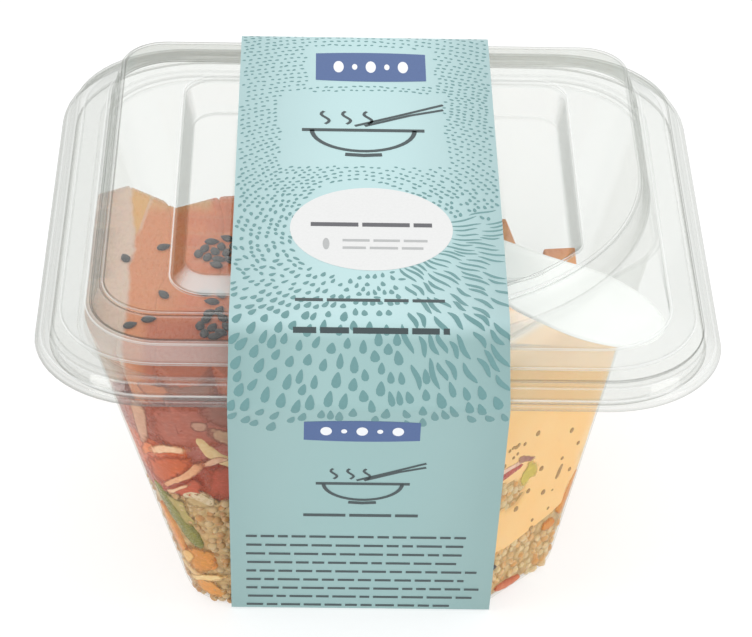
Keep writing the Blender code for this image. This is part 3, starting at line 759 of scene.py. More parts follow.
def makePrints():
    chance = random.Random(8)
    makeDashes()
    label = Print(0.05)
    label.oval(*layout["oval"])
    label.lay("sleeveLabel", inkFinish("label white", sleeve["label"], 0.5))

    blue, white = Print(0.05), Print(0.075)
    bow, pipStep = 0.5, 3.6
    for x0, x1, s0, s1 in (layout["topBar"], layout["frontBar"]):
        line = [(x, s0 + bow * ((x - x0) / (x1 - x0) * 2 - 1) ** 2) for x in np.linspace(x0, x1, 12)]
        line += [(x, s1 - bow * ((x - x0) / (x1 - x0) * 2 - 1) ** 2) for x in np.linspace(x1, x0, 12)]
        blue.shape(line)
        for k in range(-2, 3):
            halfX, share = (1.15, 0.2) if k % 2 == 0 else (0.6, 0.1)
            white.oval((x0 + x1) / 2 + k * pipStep, (s0 + s1) / 2, halfX, (s1 - s0) * share, 20)
    blue.lay("sleeveBars", inkFinish("blue ink", sleeve["bar"], 0.4))
    white.lay("sleevePips", inkFinish("white ink", sleeve["pips"], 0.4))

    dark = Print(0.05)
    bowlMotif(dark, *layout["topMotif"], 18, 1.0)
    bowlMotif(dark, *layout["frontMotif"], 13, 0.8)
    for x0, x1, s, height in layout["topRules"]:
        brokenRule(dark, x0, x1, s, height * 0.62, chance, (4, 11))
    brokenRule(dark, *layout["frontRule"][:3], layout["frontRule"][3] * 0.62, chance, (6, 12))
    for s in layout["rows"]:
        brokenRule(dark, -27 + chance.uniform(0, 0.5), 23.5 - chance.uniform(0, 5), s, 0.85, chance)
    dark.lay("sleeveLines", inkFinish("dark ink", sleeve["ink"]))

    ovalX, ovalS = layout["oval"][:2]
    title = Print(0.075)
    brokenRule(title, ovalX - 12.6, ovalX + 12.6, ovalS + 1.4, 1.5, chance, (7, 11))
    title.lay("labelTitle", inkFinish("dark label ink", sleeve["titleInk"]))
    grey = Print(0.075)
    for s in (ovalS - 4.6, ovalS - 7.4):
        brokenRule(grey, ovalX - 6, ovalX + 12, s, 0.9, chance, (4, 8))
    grey.oval(ovalX - 9.4, ovalS - 6, 0.7, 2.2, 16)
    grey.lay("labelLines", inkFinish("grey ink", sleeve["greyInk"]))


makeSleeve()
makePrints()
print("sleeve made")


# Spoon

spoon = {
    "tip": (56.1, -50.2, 75.9), "along": (-0.738, 0.677), "length": 72.0,
    "bowlHalf": 11.3, "handleHalf": 6.8, "skin": 0.55,
    "widest": 22.0, "neck": 52.0, "tipPower": 2.4, "endRound": 6.0,     # distances from the tip
    "bowlDepth": 2.1, "handleLift": 1.5, "rows": 60, "columns": 20,
    # glow is painted light: the spoon glows a little, though it is no lamp
    "colour": (0.94, 0.945, 0.945), "shade": (0.86, 0.88, 0.88), "glow": 0.31,
}


def spoonHalf(d):
    widest, bowlHalf = spoon["widest"], spoon["bowlHalf"]
    if d < widest:
        return bowlHalf * math.sqrt(max(1 - ((widest - d) / widest) ** spoon["tipPower"], 0.004))
    half = mix(bowlHalf, spoon["handleHalf"], ramp(widest, spoon["neck"], d))
    return half * math.sqrt(max(1 - max(1 - (spoon["length"] - d) / spoon["endRound"], 0) ** 2, 0.01))


def makeSpoon():
    tip, rows, columns = np.array(spoon["tip"]), spoon["rows"], spoon["columns"]
    along = np.array([*unit(np.array(spoon["along"])), 0])
    across = np.array([-along[1], along[0], 0])
    points = []
    for row in range(rows + 1):
        d = spoon["length"] * (1 - math.cos(math.pi * row / rows)) / 2
        depth = spoon["bowlDepth"] * (1 - ramp(20, 40, d)) + 0.3
        lift = spoon["handleLift"] * ramp(24, 44, d)
        for column in range(columns + 1):
            u = 2 * column / columns - 1
            edge = max(abs(u) ** 2.5, 1 - ramp(0, 9, d))
            high = np.array([0, 0, lift + depth * edge])
            points.append(tip + along * d + across * spoonHalf(d) * u + high)
    faces = [f[::-1] for f in gridFaces(rows + 1, columns + 1, False)]
    shop = Finish("white spoon plastic")
    cloud = shop.noise(6, 2)
    colour = shop.blend(cloud * 0.3, spoon["colour"], spoon["shade"])
    # painted light: a faint white emission brightens the spoon
    finish = shop.done(shop.surface(colour, 0.3 + cloud * 0.08, Subsurface_Weight=0.15,
                                    Subsurface_Radius=(2 * mm, 2 * mm, 2 * mm),
                                    Emission_Color=(1, 1, 1), Emission_Strength=spoon["glow"]))
    piece = newPiece("whiteSpoon", points, faces, finish, "white_plastic", ["spoon"])
    return thicken(piece, spoon["skin"] * mm)


makeSpoon()
print("spoon made")


# Where things lie on the tub's wall: distance along it from the middle of the cut corner, and height

wallLines = {}


def wallLine(z, inset):
    key = (round(z, 1), round(inset, 2))
    if key not in wallLines:
        loop = tubLoop(key[0], key[1], 10)
        second = len(loop) - 11
        middle = (loop[second - 1] + loop[second]) / 2
        line = np.vstack([middle, loop[second:], loop[:second], middle])
        wallLines[key] = line, travelled(line)
    return wallLines[key]


def wallSpot(distance, z, inset):
    # a point this far inside the tub's outer face, and the directions along and into the tub
    line, run = wallLine(z, inset)
    distance %= run[-1]
    k = int(np.clip(np.searchsorted(run, distance) - 1, 0, len(run) - 2))
    along = unit(line[k + 1] - line[k])
    place = line[k] + along * (distance - run[k])
    return (np.array([place[0], place[1], z]), np.array([along[0], along[1], 0]),
            np.array([-along[1], along[0], 0]))


def heldIn(point, inset):
    # the point itself, or the nearest one on the wall where it lies beyond it
    line = wallLine(point[2], inset)[0]
    spot = np.array(point[:2])
    a, b = line[:-1], line[1:]
    side = b - a
    length = np.maximum((side ** 2).sum(1), 1e-12)
    share = np.clip(((spot - a) * side).sum(1) / length, 0, 1)
    near = a + side * share[:, None]
    outside = (side[:, 0] * (spot[1] - a[:, 1]) - side[:, 1] * (spot[0] - a[:, 0]) < -1e-9).any()
    if not outside:
        return np.array(point)
    k = np.argmin(((near - spot) ** 2).sum(1))
    return np.array([*near[k], point[2]])


# Salad: a bumpy core, with the real grains against the walls and on top

salad = {
    "bottom": 1.15, "back": 25.0, "leftTop": 34.3, "middle": 50.0, "front": 61.0, "side": 40.0,
    "grainRadius": 1.2, "spacing": 2.0, "coreInset": 0.6, "foot": 0.15, "lump": 2.2,
    "columns": 220, "levels": 44, "rings": 40, "centre": (0.0, 2.0),      # of the core's mesh
    "clear": (0.7, 0.47, 0.2), "golden": (0.72, 0.36, 0.09), "pale": (0.88, 0.7, 0.4),
    # left is a painted shade: it darkens the grains towards the left
    "deep": (0.5, 0.3, 0.1), "left": (0.76, 0.69, 0.63),    # the last one is what dims it at the left
}


def bedTop(x, y):
    # how high the heap is: low at the back, higher at the left, highest at the front right
    left = ramp(-4, -12, x) * ramp(28, 12, y)
    right = ramp(-21, -3, x) * ramp(22, -10, y)
    front = mix(salad["middle"], salad["front"], ramp(-8, 22, x))
    front = mix(front, salad["side"], ramp(38, 49, x))
    return mix(mix(salad["back"], salad["leftTop"], left), front, right)


def dressingSpread(z):
    # from where to where it lies along the wall
    left = mix(-17, -31, ramp(15, 45, z)) + 1.2 * math.sin(z / 4)
    right = mix(-10, 13.5, ramp(13, 16.5, z + 0.5 * math.sin(z)))
    right = mix(right, 27, ramp(17, 34, z))
    return left, mix(right, 8, ramp(52, 74, z))


def grainFinish():
    shop = Finish("cooked grain")
    ring = shop.read("ring")
    tone = shop.read("tone")
    colour = shop.blend(shop.soft(tone, 0.2, 0.9), salad["clear"], salad["golden"])
    colour = shop.blend(shop.soft(tone, 0.62, 0.2) * 0.45, colour, salad["pale"])
    colour = shop.blend(ring * 0.4, colour, salad["pale"])
    # painted shade: darker towards the left side
    side = shop.axis("X")
    colour = shop.blend(shop.soft(side, -8, -28), colour, salad["left"], "MULTIPLY")
    fine = shop.noise(0.6, 2)
    return shop.moist(colour, 0.24 + fine * 0.12, shop.bump(fine, 0.08, 0.5), 0.35, (3, 2, 1),
                      Coat_Weight=0.3, Coat_Roughness=0.1)


def coreFinish():
    shop = Finish("salad core")
    cells = shop.add("TexVoronoi", {"feature": "F1"}, {"Vector": shop.place(), "Scale": 1 / salad["lump"]},
                     "Distance")
    # painted shade: darker in the hollows between the lumps
    colour = shop.blend(shop.soft(cells, 0.2, 0.8), salad["clear"], salad["deep"])
    colour = shop.blend(shop.soft(shop.noise(9, 2), 0.5, 0.75) * 0.6, colour, (0.66, 0.34, 0.1))
    return shop.moist(colour, 0.35, shop.bump(1 - cells, 0.7, 0.8), 0.2, (3, 2, 1))


def footInset(z, extra=0.0):
    # the salad draws in where the tub's foot is rounded
    return (salad["foot"] + extra) * max(1 - (z - salad["bottom"]) / 2, 0) ** 1.5


def makeCore():
    columns, levels, rings = salad["columns"], salad["levels"], salad["rings"]
    middle = np.array(salad["centre"])
    points = []
    around = wallLine(30, salad["coreInset"])[1][-1]
    for level in range(levels + 1):
        for k in range(columns):
            spot = wallSpot(around * k / columns, 30, salad["coreInset"])[0]
            z = mix(salad["bottom"] + 0.1, bedTop(spot[0], spot[1]), level / levels)
            inset = salad["coreInset"] + footInset(z, 0.4)
            run = wallLine(z, inset)[1]
            points.append(wallSpot(run[-1] * k / columns, z, inset)[0])
    edge = points[-columns:]
    for ring in range(1, rings):
        t = ring / rings
        for k in range(columns):
            x, y = mix(edge[k][0], middle[0], t), mix(edge[k][1], middle[1], t)
            points.append(np.array([x, y, bedTop(x, y)]))
    faces = [tuple(range(columns))[::-1]] + gridFaces(levels + rings, columns)
    points.append(np.array([*middle, bedTop(*middle)]))
    last = (levels + rings - 1) * columns
    faces += [(last + k, last + (k + 1) % columns, len(points) - 1) for k in range(columns)]
    core = newPiece("saladCore", points, faces, coreFinish(), "cooked_grain", ["quinoa_salad"])
    lumps = bpy.data.textures.new("grain lumps", "VORONOI")
    lumps.noise_scale = salad["lump"] * mm
    swell = core.modifiers.new("Lumps", "DISPLACE")
    swell.texture = lumps
    swell.texture_coords = "LOCAL"
    swell.direction = "NORMAL"
    swell.mid_level = 0.0
    swell.strength = -0.3 * mm
    return applied(core)


def grainShape(segments=8):
    # a flattened bead with a ridge round it, where the pale germ curls
    rows = [(0.45, 0.6), (0.8, 0.42), (0.93, 0.24), (1.06, 0.0), (0.93, -0.24), (0.8, -0.42), (0.45, -0.6)]
    points, ring = [(0, 0, 0.66)], [0]
    for radius, height in rows:
        for k in range(segments):
            turn = 2 * math.pi * k / segments
            points.append((radius * math.cos(turn), radius * math.sin(turn), height))
            ring.append(1 if radius > 0.9 else 0)
    points.append((0, 0, -0.66))
    ring.append(0)
    return np.array(points), beadFaces(len(rows), segments), np.array(ring)


def scatter(name, spots, shape, finish, slot, nodes=()):
    # joins a copy of the shape for each spot: place, normal, size, tone, how far it may tilt,
    # and how far it reaches along the normal, where the wall flattens it
    base, faces, ring = shape
    chance = np.random.default_rng(17)
    points, tones = [], []
    for place, wall, size, tone, tilt, room in spots:
        normal = unit(wall + chance.normal(0, tilt, 3))
        helper = np.array([0, 0, 1]) if abs(normal[2]) < 0.9 else np.array([1, 0, 0])
        side = unit(np.cross(helper, normal))
        turn = np.cross(normal, side)
        squash = chance.uniform(0.82, 1)
        local = base * np.array([size, size * squash, size * chance.uniform(0.85, 1.15)])
        local = local @ np.stack([side, turn, normal])
        beyond = np.maximum(local @ wall - room, 0)
        points.append(local - beyond[:, None] * wall + place)
        tones += [tone] * len(base)
    faces = repeated(faces, len(points), len(base))
    piece = newPiece(name, np.vstack(points), faces, finish, slot, nodes)
    paint(piece.data, "ring", np.tile(ring, len(spots)))
    paint(piece.data, "tone", tones)
    return piece


def wallGrains(chance, taken):
    # taken says where on the wall something else is pressed
    size, gap = salad["grainRadius"], salad["spacing"]
    spots = []
    z = salad["bottom"] + 0.5
    while z < salad["front"] + 1:
        run = wallLine(z, foodInset)[1]
        d = chance.uniform(0, gap)
        while d < run[-1]:
            at = d if d < run[-1] / 2 else d - run[-1]
            deep = 0.6 + chance.uniform(-0.1, 0.4)
            place, along, inward = wallSpot(at, z, foodInset + footInset(z) + deep)
            if z < bedTop(place[0], place[1]) + 0.3 and not taken(at, z):
                aside, higher = chance.uniform(-0.35, 0.35), chance.uniform(-0.35, 0.35)
                place = place + along * aside + np.array([0, 0, higher])
                spots.append((place, -inward, size * chance.uniform(0.78, 1.08), chance.random(), 0.5,
                              deep + 0.15))
            d += gap * chance.uniform(0.9, 1.15)
        z += gap * 0.86
    return spots


def topGrains(chance):
    # on the heap, apart from where the fish lies
    size, gap = salad["grainRadius"], salad["spacing"] * 1.08
    spots = []
    x = -58.0
    while x < 58:
        y = -58.0
        while y < 58:
            px, py = x + chance.uniform(-0.7, 0.7), y + chance.uniform(-0.7, 0.7)
            z = bedTop(px, py)
            held = heldIn((px, py, z), foodInset + 1.6)
            underFish = px < -25 and py < -4
            if abs(held[0] - px) + abs(held[1] - py) < 1e-6 and not underFish:
                slope = np.array([bedTop(px - 0.5, py) - bedTop(px + 0.5, py),
                                  bedTop(px, py - 0.5) - bedTop(px, py + 0.5), 1.0])
                place = np.array([px, py, z + chance.uniform(-0.2, 0.5)])
                spots.append((place, unit(slope), size * chance.uniform(0.78, 1.08), chance.random(), 0.6, 9))
            y += gap
        x += gap
    return spots


def makeGrains(taken, finish):
    chance = random.Random(21)
    around, onTop = wallGrains(chance, taken), topGrains(chance)
    print("grains", len(around), len(onTop))
    shape = grainShape()
    third, half = len(around) // 3, len(onTop) // 2
    for name, spots in (("grainsLow", around[:third]), ("grainsMiddle", around[third:2 * third]),
                        ("grainsHigh", around[2 * third:]), ("grainsOnTop", onTop[:half]),
                        ("grainsOnTopRight", onTop[half:])):
        scatter(name, spots, shape, finish, "cooked_grain")


# Pieces pressed to the wall: a line of (distance, height), width, thickness, finish and node

def waxy(name, colour, deep, shine=0.25, size=2.0):
    # moist vegetable or fish fat: a little lighter and darker along its fibres
    shop = Finish(name)
    fibres = shop.noise(size, 3, twist=0.6)
    fine = shop.noise(0.5, 2)
    shade = shop.blend(shop.soft(fibres, 0.3, 0.7), colour, deep)
    return shop.moist(shade, shine + fine * 0.1, shop.bump(fibres, 0.25, 0.5), 0.2, (3, 1.5, 1))


finishes = {
    "green": waxy("green pepper", (0.25, 0.22, 0.02), (0.17, 0.16, 0.01), 0.22),
    "orange": waxy("orange pepper", (0.74, 0.3, 0.035), (0.66, 0.2, 0.02), 0.24),
    "red": waxy("red pepper", (0.52, 0.1, 0.06), (0.42, 0.05, 0.03), 0.22),
    "olive": waxy("olive herb", (0.4, 0.22, 0.08), (0.48, 0.28, 0.1), 0.35),
    "brick": waxy("brick pepper", (0.72, 0.2, 0.06), (0.6, 0.13, 0.04), 0.24),
    "cream": waxy("cream shred", (0.78, 0.55, 0.27), (0.7, 0.44, 0.18), 0.3, size=1.6),
    "onion": waxy("clear shred", (0.72, 0.58, 0.38), (0.6, 0.42, 0.22), 0.2, size=2),
}

wallPieces = {
    "greenPepperStrip": ([(-87.6, 36.6), (-84, 31.5), (-79.5, 25.5), (-73.8, 18.8)], 4.6, 2.2, "green",
                         "green_pepper_strip"),
    "orangePepperStrip": ([(-86.4, 28.6), (-83, 22.5), (-77.3, 13.5)], 3.6, 2.0, "orange",
                          "orange_pepper_strip"),
    "orangePepperPiece": ([(-75, 15.8), (-72.5, 15.5), (-70.3, 12.0)], 3.4, 1.8, "orange",
                          "orange_pepper_piece"),
    "cabbageShredLow": ([(-79.5, 10.2), (-74, 8.0), (-68, 9.2)], 2.2, 1.2, "cream", "cabbage_shred_low"),
    "cabbageShredMiddle": ([(-79.8, 36.0), (-77, 36.6), (-73, 34.0)], 3.4, 1.0, "onion",
                           "cabbage_shred_middle"),
    "cabbageShredTop": ([(-78.9, 55.0), (-76.6, 52.0), (-74.2, 49.6), (-68.4, 45.0)], 3.3, 1.4, "cream",
                        "cabbage_shred_top"),
    "redPepperStrip": ([(-21, 34.2), (-12, 34.4), (-7, 35.0), (-2.2, 35.2)], 2.9, 1.8, "red",
                       "red_pepper_strip"),
    "oliveFleck": ([(9.8, 24.9), (10.7, 26.6), (11.5, 28.2)], 1.5, 0.6, "olive", ""),
    "carrotPiece": ([(18.0, 23.0), (15.4, 18.6), (12.6, 13.8)], 5.0, 2.2, "orange", "carrot_piece"),
    "carrotPieceLow": ([(7.4, 12.8), (9.2, 12.4), (11.2, 12.4)], 3.0, 2.0, "orange", "carrot_piece_low"),
    "redPepperPiece": ([(-6.8, 3.0), (-3.2, 2.5), (1.2, 2.3)], 2.2, 1.6, "brick", "red_pepper_piece"),
}


wallCut = {"stations": 26, "section": 14, "proud": 0.06, "blunt": 0.45}


def wallStrip(name, line, width, thickness, finish, slot, nodes, seed):
    # a cut that lies flat on the wall and is rounded towards the food
    line = curve(line, wallCut["stations"])
    run = np.gradient(line, axis=0)
    run /= np.linalg.norm(run, axis=1)[:, None]
    section, blunt = wallCut["section"], wallCut["blunt"]
    chance = random.Random(seed)
    phase = [chance.uniform(0, 6.28) for _ in range(4)]
    points = []
    for k, (centre, way) in enumerate(zip(line, run)):
        t = k / (len(line) - 1)
        side = np.array([-way[1], way[0]])
        half = width / 2 * (blunt + (1 - blunt) * math.sin(math.pi * min(max(t, 0.02), 0.98)) ** 0.5)
        half *= max(1 - max(1 - min(t, 1 - t) / 0.06, 0) ** 2, 0.04) ** 0.5
        for j in range(section):
            turn = 2 * math.pi * (j + 0.5) / section
            across = math.copysign(abs(math.cos(turn)) ** 0.7, math.cos(turn))
            rough = 1 + 0.1 * math.sin(9 * t + phase[0]) * math.sin(turn + phase[1])
            spot = centre + side * half * across * (rough + 0.06 * math.sin(23 * t + phase[2]))
            deep = thickness * max(0.46 + 0.6 * math.sin(turn), 0) * (1 + 0.12 * math.sin(11 * t + phase[3]))
            place, _, inward = wallSpot(spot[0], spot[1], foodInset - wallCut["proud"])
            points.append(place + inward * deep)
    faces = [f[::-1] for f in tubeFaces(len(line), section)]
    return newPiece(name, points, faces, finish, slot, nodes)


def takenByFood(distance, z):
    # the dressing, and the larger cuts pressed to the wall
    left, right = dressingSpread(z)
    if 14 < z < 73 and left + 0.8 < distance < right - 0.8:
        return True
    spot = np.array([distance, z])
    for line, width, _, finish, _ in wallPieces.values():
        if finish == "onion":
            continue
        for a, b in zip(np.array(line), np.array(line)[1:]):
            share = min(max((spot - a) @ (b - a) / ((b - a) @ (b - a)), 0), 1)
            if np.linalg.norm(spot - a - (b - a) * share) < width / 2 + 0.6:
                return True
    return False


slots = {"green": "green_pepper", "orange": "orange_vegetable", "red": "red_pepper", "brick": "red_pepper",
         "olive": "pepper_leaf", "cream": "cabbage", "onion": "cabbage"}
grainLook = grainFinish()
makeCore()
makeGrains(takenByFood, grainLook)
for seed, (name, (line, width, thickness, finish, node)) in enumerate(wallPieces.items()):
    nodes = [node] if node else []
    wallStrip(name, line, width, thickness, finishes[finish], slots[finish], nodes, seed)
print("salad made")


# Dressing, in one smooth mass against the cut corner

dressing = {
    "bottom": 13.2, "top": 73.2, "heights": 60, "steps": 34, "depth": (4, 17),
    "colour": (0.98, 0.58, 0.215), "light": (0.99, 0.62, 0.26), "speck": (0.8, 0.42, 0.14),
    # pale and glow are painted light: the dressing is paler at its top and upper rim, and that rim glows,
    # though it is no lamp
    "pale": (0.96, 0.88, 0.81), "glow": 0.26,           # its upper rim, under the lid
}


def dressingFinish():
    shop = Finish("dressing")
    broad = shop.noise(14, 2)
    fine = shop.noise(0.9, 3)
    colour = shop.blend(shop.soft(broad, 0.35, 0.7), dressing["colour"], dressing["light"])
    colour = shop.blend(shop.soft(fine, 0.6, 0.75) * 0.25, colour, dressing["speck"])
    # painted light: paler towards the top and the upper rim, which also glows in the dressing's own colour
    high = shop.axis("Z")
    top = shop.soft(high, 69.6, 72.4)
    rim = shop.soft(high, 63.5, 69)
    colour = shop.blend(rim * 0.2 + top * 0.7, colour, dressing["pale"])
    return shop.moist(colour, 0.3, shop.bump(fine, 0.05, 0.4), 0.3, (4, 2, 1),
                      Emission_Strength=dressing["glow"], Emission_Color=shop.blend(rim, (0, 0, 0), colour))


def makeDressing():
    heights, steps = dressing["heights"], dressing["steps"]
    points = []
    for row in range(heights + 1):
        t = row / heights
        z = mix(dressing["bottom"], dressing["top"], t ** 0.95)
        left, right = dressingSpread(z)
        shrink = math.sqrt(max(1 - max((t - 0.86) / 0.15, 0) ** 2, 0.02))
        shrink *= math.sqrt(max(1 - max((0.05 - t) / 0.055, 0) ** 2, 0.05))
        left, right = mix(right, left, (1 + shrink) / 2), mix(left, right, (1 + shrink) / 2)
        left += 0.5 * math.sin(z * 0.9)
        right += 0.5 * math.sin(z * 1.1 + 1)
        depth = mix(*dressing["depth"], ramp(12.5, 60, z)) * shrink
        for k in range(steps + 1):
            spot = (mix(left, right, k / steps), z)
            hollow = patch["hollow"] if isWithin(spot, patch["outline"]) else 0
            points.append(wallSpot(*spot, foodInset + hollow)[0])
        for k in range(1, steps):
            share = 1 - k / steps
            place, _, inward = wallSpot(mix(left, right, share), z, foodInset)
            bow = depth * math.sin(math.pi * share) ** 0.5 * (1 + 0.12 * math.sin(5 * share + z / 6))
            points.append(place + inward * bow)
    count = 2 * steps
    faces = tubeFaces(heights + 1, count)
    return newPiece("dressing", points, faces, dressingFinish(), "dressing", ["dressing"])


patch = {
    "hollow": 1.3,                          # the dressing gives way to the grains
    "outline": [(-17, 33), (-10.8, 33.2), (-7.6, 32.6), (-4.3, 31.4), (-1.3, 28.9), (-1.6, 25.7),
                (-3.6, 24.2), (-8.3, 25.7), (-12, 26.5), (-17, 27)],
    "flecks": [(-7, 41.3), (-6, 41.6), (-5.1, 41.2), (-4.2, 41.5), (-2.2, 40.7), (1.7, 41.6), (4.3, 30.8),
               (5.9, 23.4), (9, 22.3), (0.6, 26.5), (-2.8, 23.4), (8.4, 17.6), (3.2, 17.1), (3.1, 14.9),
               (16.2, 31.4), (11.2, 29.9), (13.5, 36.3), (14.2, 25.3), (-5.6, 38.8), (-4.4, 39.2),
               (-8.2, 37.9)],
    "black": [(-9.6, 39.7), (-9.3, 38.9), (-8.4, 10.1)],
}


def isWithin(spot, line):
    inside = False
    for (x0, y0), (x1, y1) in zip(line, line[1:] + line[:1]):
        if (y0 > spot[1]) != (y1 > spot[1]) and spot[0] < x0 + (x1 - x0) * (spot[1] - y0) / (y1 - y0):
            inside = not inside
    return inside


def makePatch(finish):
    # grains and herbs that show at the wall through the dressing
    chance = random.Random(31)
    shape = grainShape()
    spots = []
    z = 23.6
    while z < 33.4:
        d = -17 + chance.uniform(0, 1)
        while d < -1:
            if isWithin((d, z), patch["outline"]):
                high = z + chance.uniform(-0.3, 0.3)
                place, _, inward = wallSpot(d, high, foodInset + 0.6 + chance.uniform(0, 0.2))
                spots.append((place, -inward, chance.uniform(1.0, 1.25), chance.random(), 0.4, 0.7))
            d += 1.9
        z += 1.7
    scatter("quinoaPatch", spots, shape, finish, "cooked_grain", ["quinoa_patch"])
    for name, key, look, grow in (("herbFlecks", "flecks", finishes["olive"], 0.7),
                                  ("blackFlecks", "black", seedLook, 0.9)):
        spots = []
        for d, z in patch[key]:
            place, _, inward = wallSpot(d, z, foodInset + 0.2)
            spots.append((place, -inward, grow * chance.uniform(0.7, 1.25), 0.5, 0.25, 0.35))
        scatter(name, spots, shape, look, "pepper_leaf")


def seedFinish():
    shop = Finish("black sesame")
    fine = shop.noise(0.3, 2)
    colour = shop.blend(fine, (0.015, 0.016, 0.018), (0.06, 0.06, 0.065))
    return shop.done(shop.surface(colour, 0.35, Normal=shop.bump(fine, 0.05, 0.5)))


seedLook = seedFinish()
makeDressing()
makePatch(grainLook)
print("dressing made")


# Fish: each cut is a block between two corners, whose x and y are given for the tub's rim

fishCuts = {
    "troutLowLeft": ("trout_low_left", (-60, -62, 35.3), (-45.0, 5, 40.0), "deep"),
    "troutBright": ("trout_bright", (-60, -62, 40.6), (-44.4, 8, 51.0), "bright"),
    "troutLeft": ("trout_left", (-60, -62, 51.6), (-45.6, 4, 62.9), "dull"),
    "troutLowRight": ("trout_low_right", (-44.2, -62, 35.3), (-24.6, 3, 46.8), "deep"),
    "troutMiddleRight": ("trout_middle_right", (-43.6, -62, 47.4), (-23.4, -1, 56.4), "dull"),
    "troutHighRight": ("trout_high_right", (-44.8, -62, 57.0), (-25, 2, 65.4), "dull"),
    "troutTopPale": ("trout_top_pale", (-60, -52, 63.5), (-52.8, 8, 75.4), "top"),
    "troutTopLeft": ("trout_top_left", (-52.0, -60, 63.5), (-45.4, 9, 75.4), "top"),
    "troutTopMiddle": ("trout_top_middle", (-44.4, -60, 66.0), (-34.2, 3, 75.4), "top"),
    "troutTopRight": ("trout_top_right", (-33.4, -60, 66.0), (-23, 6, 75.4), "top"),
    "carrotPieceLeft": ("carrot_piece_left", (19, -3.5, 62.6), (29.8, 6, 69.8), "carrot"),
    "carrotPieceRight": ("carrot_piece_right", (36.2, -12, 62.6), (41.4, -5.2, 69.8), "carrot"),
}
# Colours of the flesh, its deeper blotches and its fat, and how much the fat's lines show
fishLooks = {
    "bright": ((0.72, 0.15, 0.03), (0.6, 0.1, 0.02), (0.86, 0.42, 0.2), 0.25),
    "deep": ((0.5, 0.075, 0.025), (0.38, 0.05, 0.02), (0.72, 0.3, 0.17), 0.3),
    "dull": ((0.48, 0.12, 0.065), (0.38, 0.08, 0.05), (0.62, 0.28, 0.2), 0.45),
    "top": ((0.93, 0.25, 0.07), (0.84, 0.19, 0.05), (0.84, 0.42, 0.23), 0.5),
    "carrot": ((0.86, 0.33, 0.06), (0.78, 0.24, 0.03), (0.9, 0.45, 0.12), 0.2),
}


def topField(shop, colour):
    # seen from above: pale at the left, an orange strip with a yellower wedge at its back, then pinker; along
    # the front, a painted shade of darker red
    spot, y = shop.axis("X"), shop.axis("Y")
    wander = shop.noise(7, 2) * 2.4
    x = spot + wander - 1.2
    colour = shop.blend(shop.soft(x, -38, -44) * 0.8, colour, (0.8, 0.28, 0.09))
    colour = shop.blend(shop.soft(y, -4, 2) * shop.soft(x, -34.5, -36.5), colour, (0.82, 0.4, 0.14))
    wedge = y * 0.163 - spot
    seam = shop.soft(wedge, 48.2, 48.9) * shop.soft(y, -12, -7) * 0.6
    colour = shop.blend(seam, colour, (0.86, 0.62, 0.45))
    colour = shop.blend(shop.soft(wedge, 49.0, 49.5) * shop.soft(y, -13, -8), colour, (0.87, 0.45, 0.13))
    # painted shade: darker red along the front
    front = shop.soft(y + wander, -37, -45) * shop.soft(spot, -49, -46) * 0.85
    colour = shop.blend(front, colour, (0.62, 0.115, 0.025))
    pale = shop.soft(x + shop.soft(y, -10, 6) * 1.3, -50.9, -52.1)
    return shop.blend(pale, colour, (0.83, 0.6, 0.48))


def fishFinish(name, look):
    # flesh with pale wavy lines of fat across it
    body, deep, fat, lines = look
    shop = Finish(name)
    waves = shop.add("TexWave", {"wave_type": "BANDS", "bands_direction": "Y"},
                     {"Vector": shop.place((0.5, 1, 0.8)), "Scale": 0.055, "Distortion": 5.0, "Detail": 2,
                      "Detail Scale": 0.6})
    blotch = shop.noise(7, 3)
    fine = shop.noise(0.8, 3, shop.place((1, 0.4, 1)))
    colour = shop.blend(shop.soft(blotch, 0.35, 0.7), body, deep)
    line = shop.soft(waves, 0.8, 1.0) * (lines * 0.4)
    colour = shop.blend(line, colour, fat)
    colour = shop.blend(shop.soft(fine, 0.5, 0.8) * 0.2, colour, fat)
    if name == "top":
        colour = topField(shop, colour)
    height = fine * 0.5 + line * 0.5
    return shop.moist(colour, 0.22 + fine * 0.12, shop.bump(height, 0.3, 0.6), 0.3, (5, 2, 1),
                      Specular_IOR_Level=0.35)


# Where the top cuts end at the back, for each x, and how far all cuts lean to the right at each y
fishEnds = [(-57.1, -54.4, -52.9, -48, -47.2, -43.7, -39.3, -38, -35.4, -32, -24),
            (5.7, 7.0, 8.7, 6.1, 6.0, 0.4, 2.5, 3.0, 3.8, 5.1, 6.4)]
fishSway = [(-62, -45, -38, -31, -26, -21, -13, -4, 3, 9),
            (0.4, 0.0, -0.3, 0.1, 1.4, 1.2, 1.5, 1.4, 0.2, -0.6)]


# Points along and round a cut, how much wider it is than its corners say, how much farther back the
# top cuts reach than their ends say, and how far inside the tub's outer face food starts
fishCut = {"stations": 34, "section": 36, "grow": 0.8, "farther": 2, "gap": 1.15}


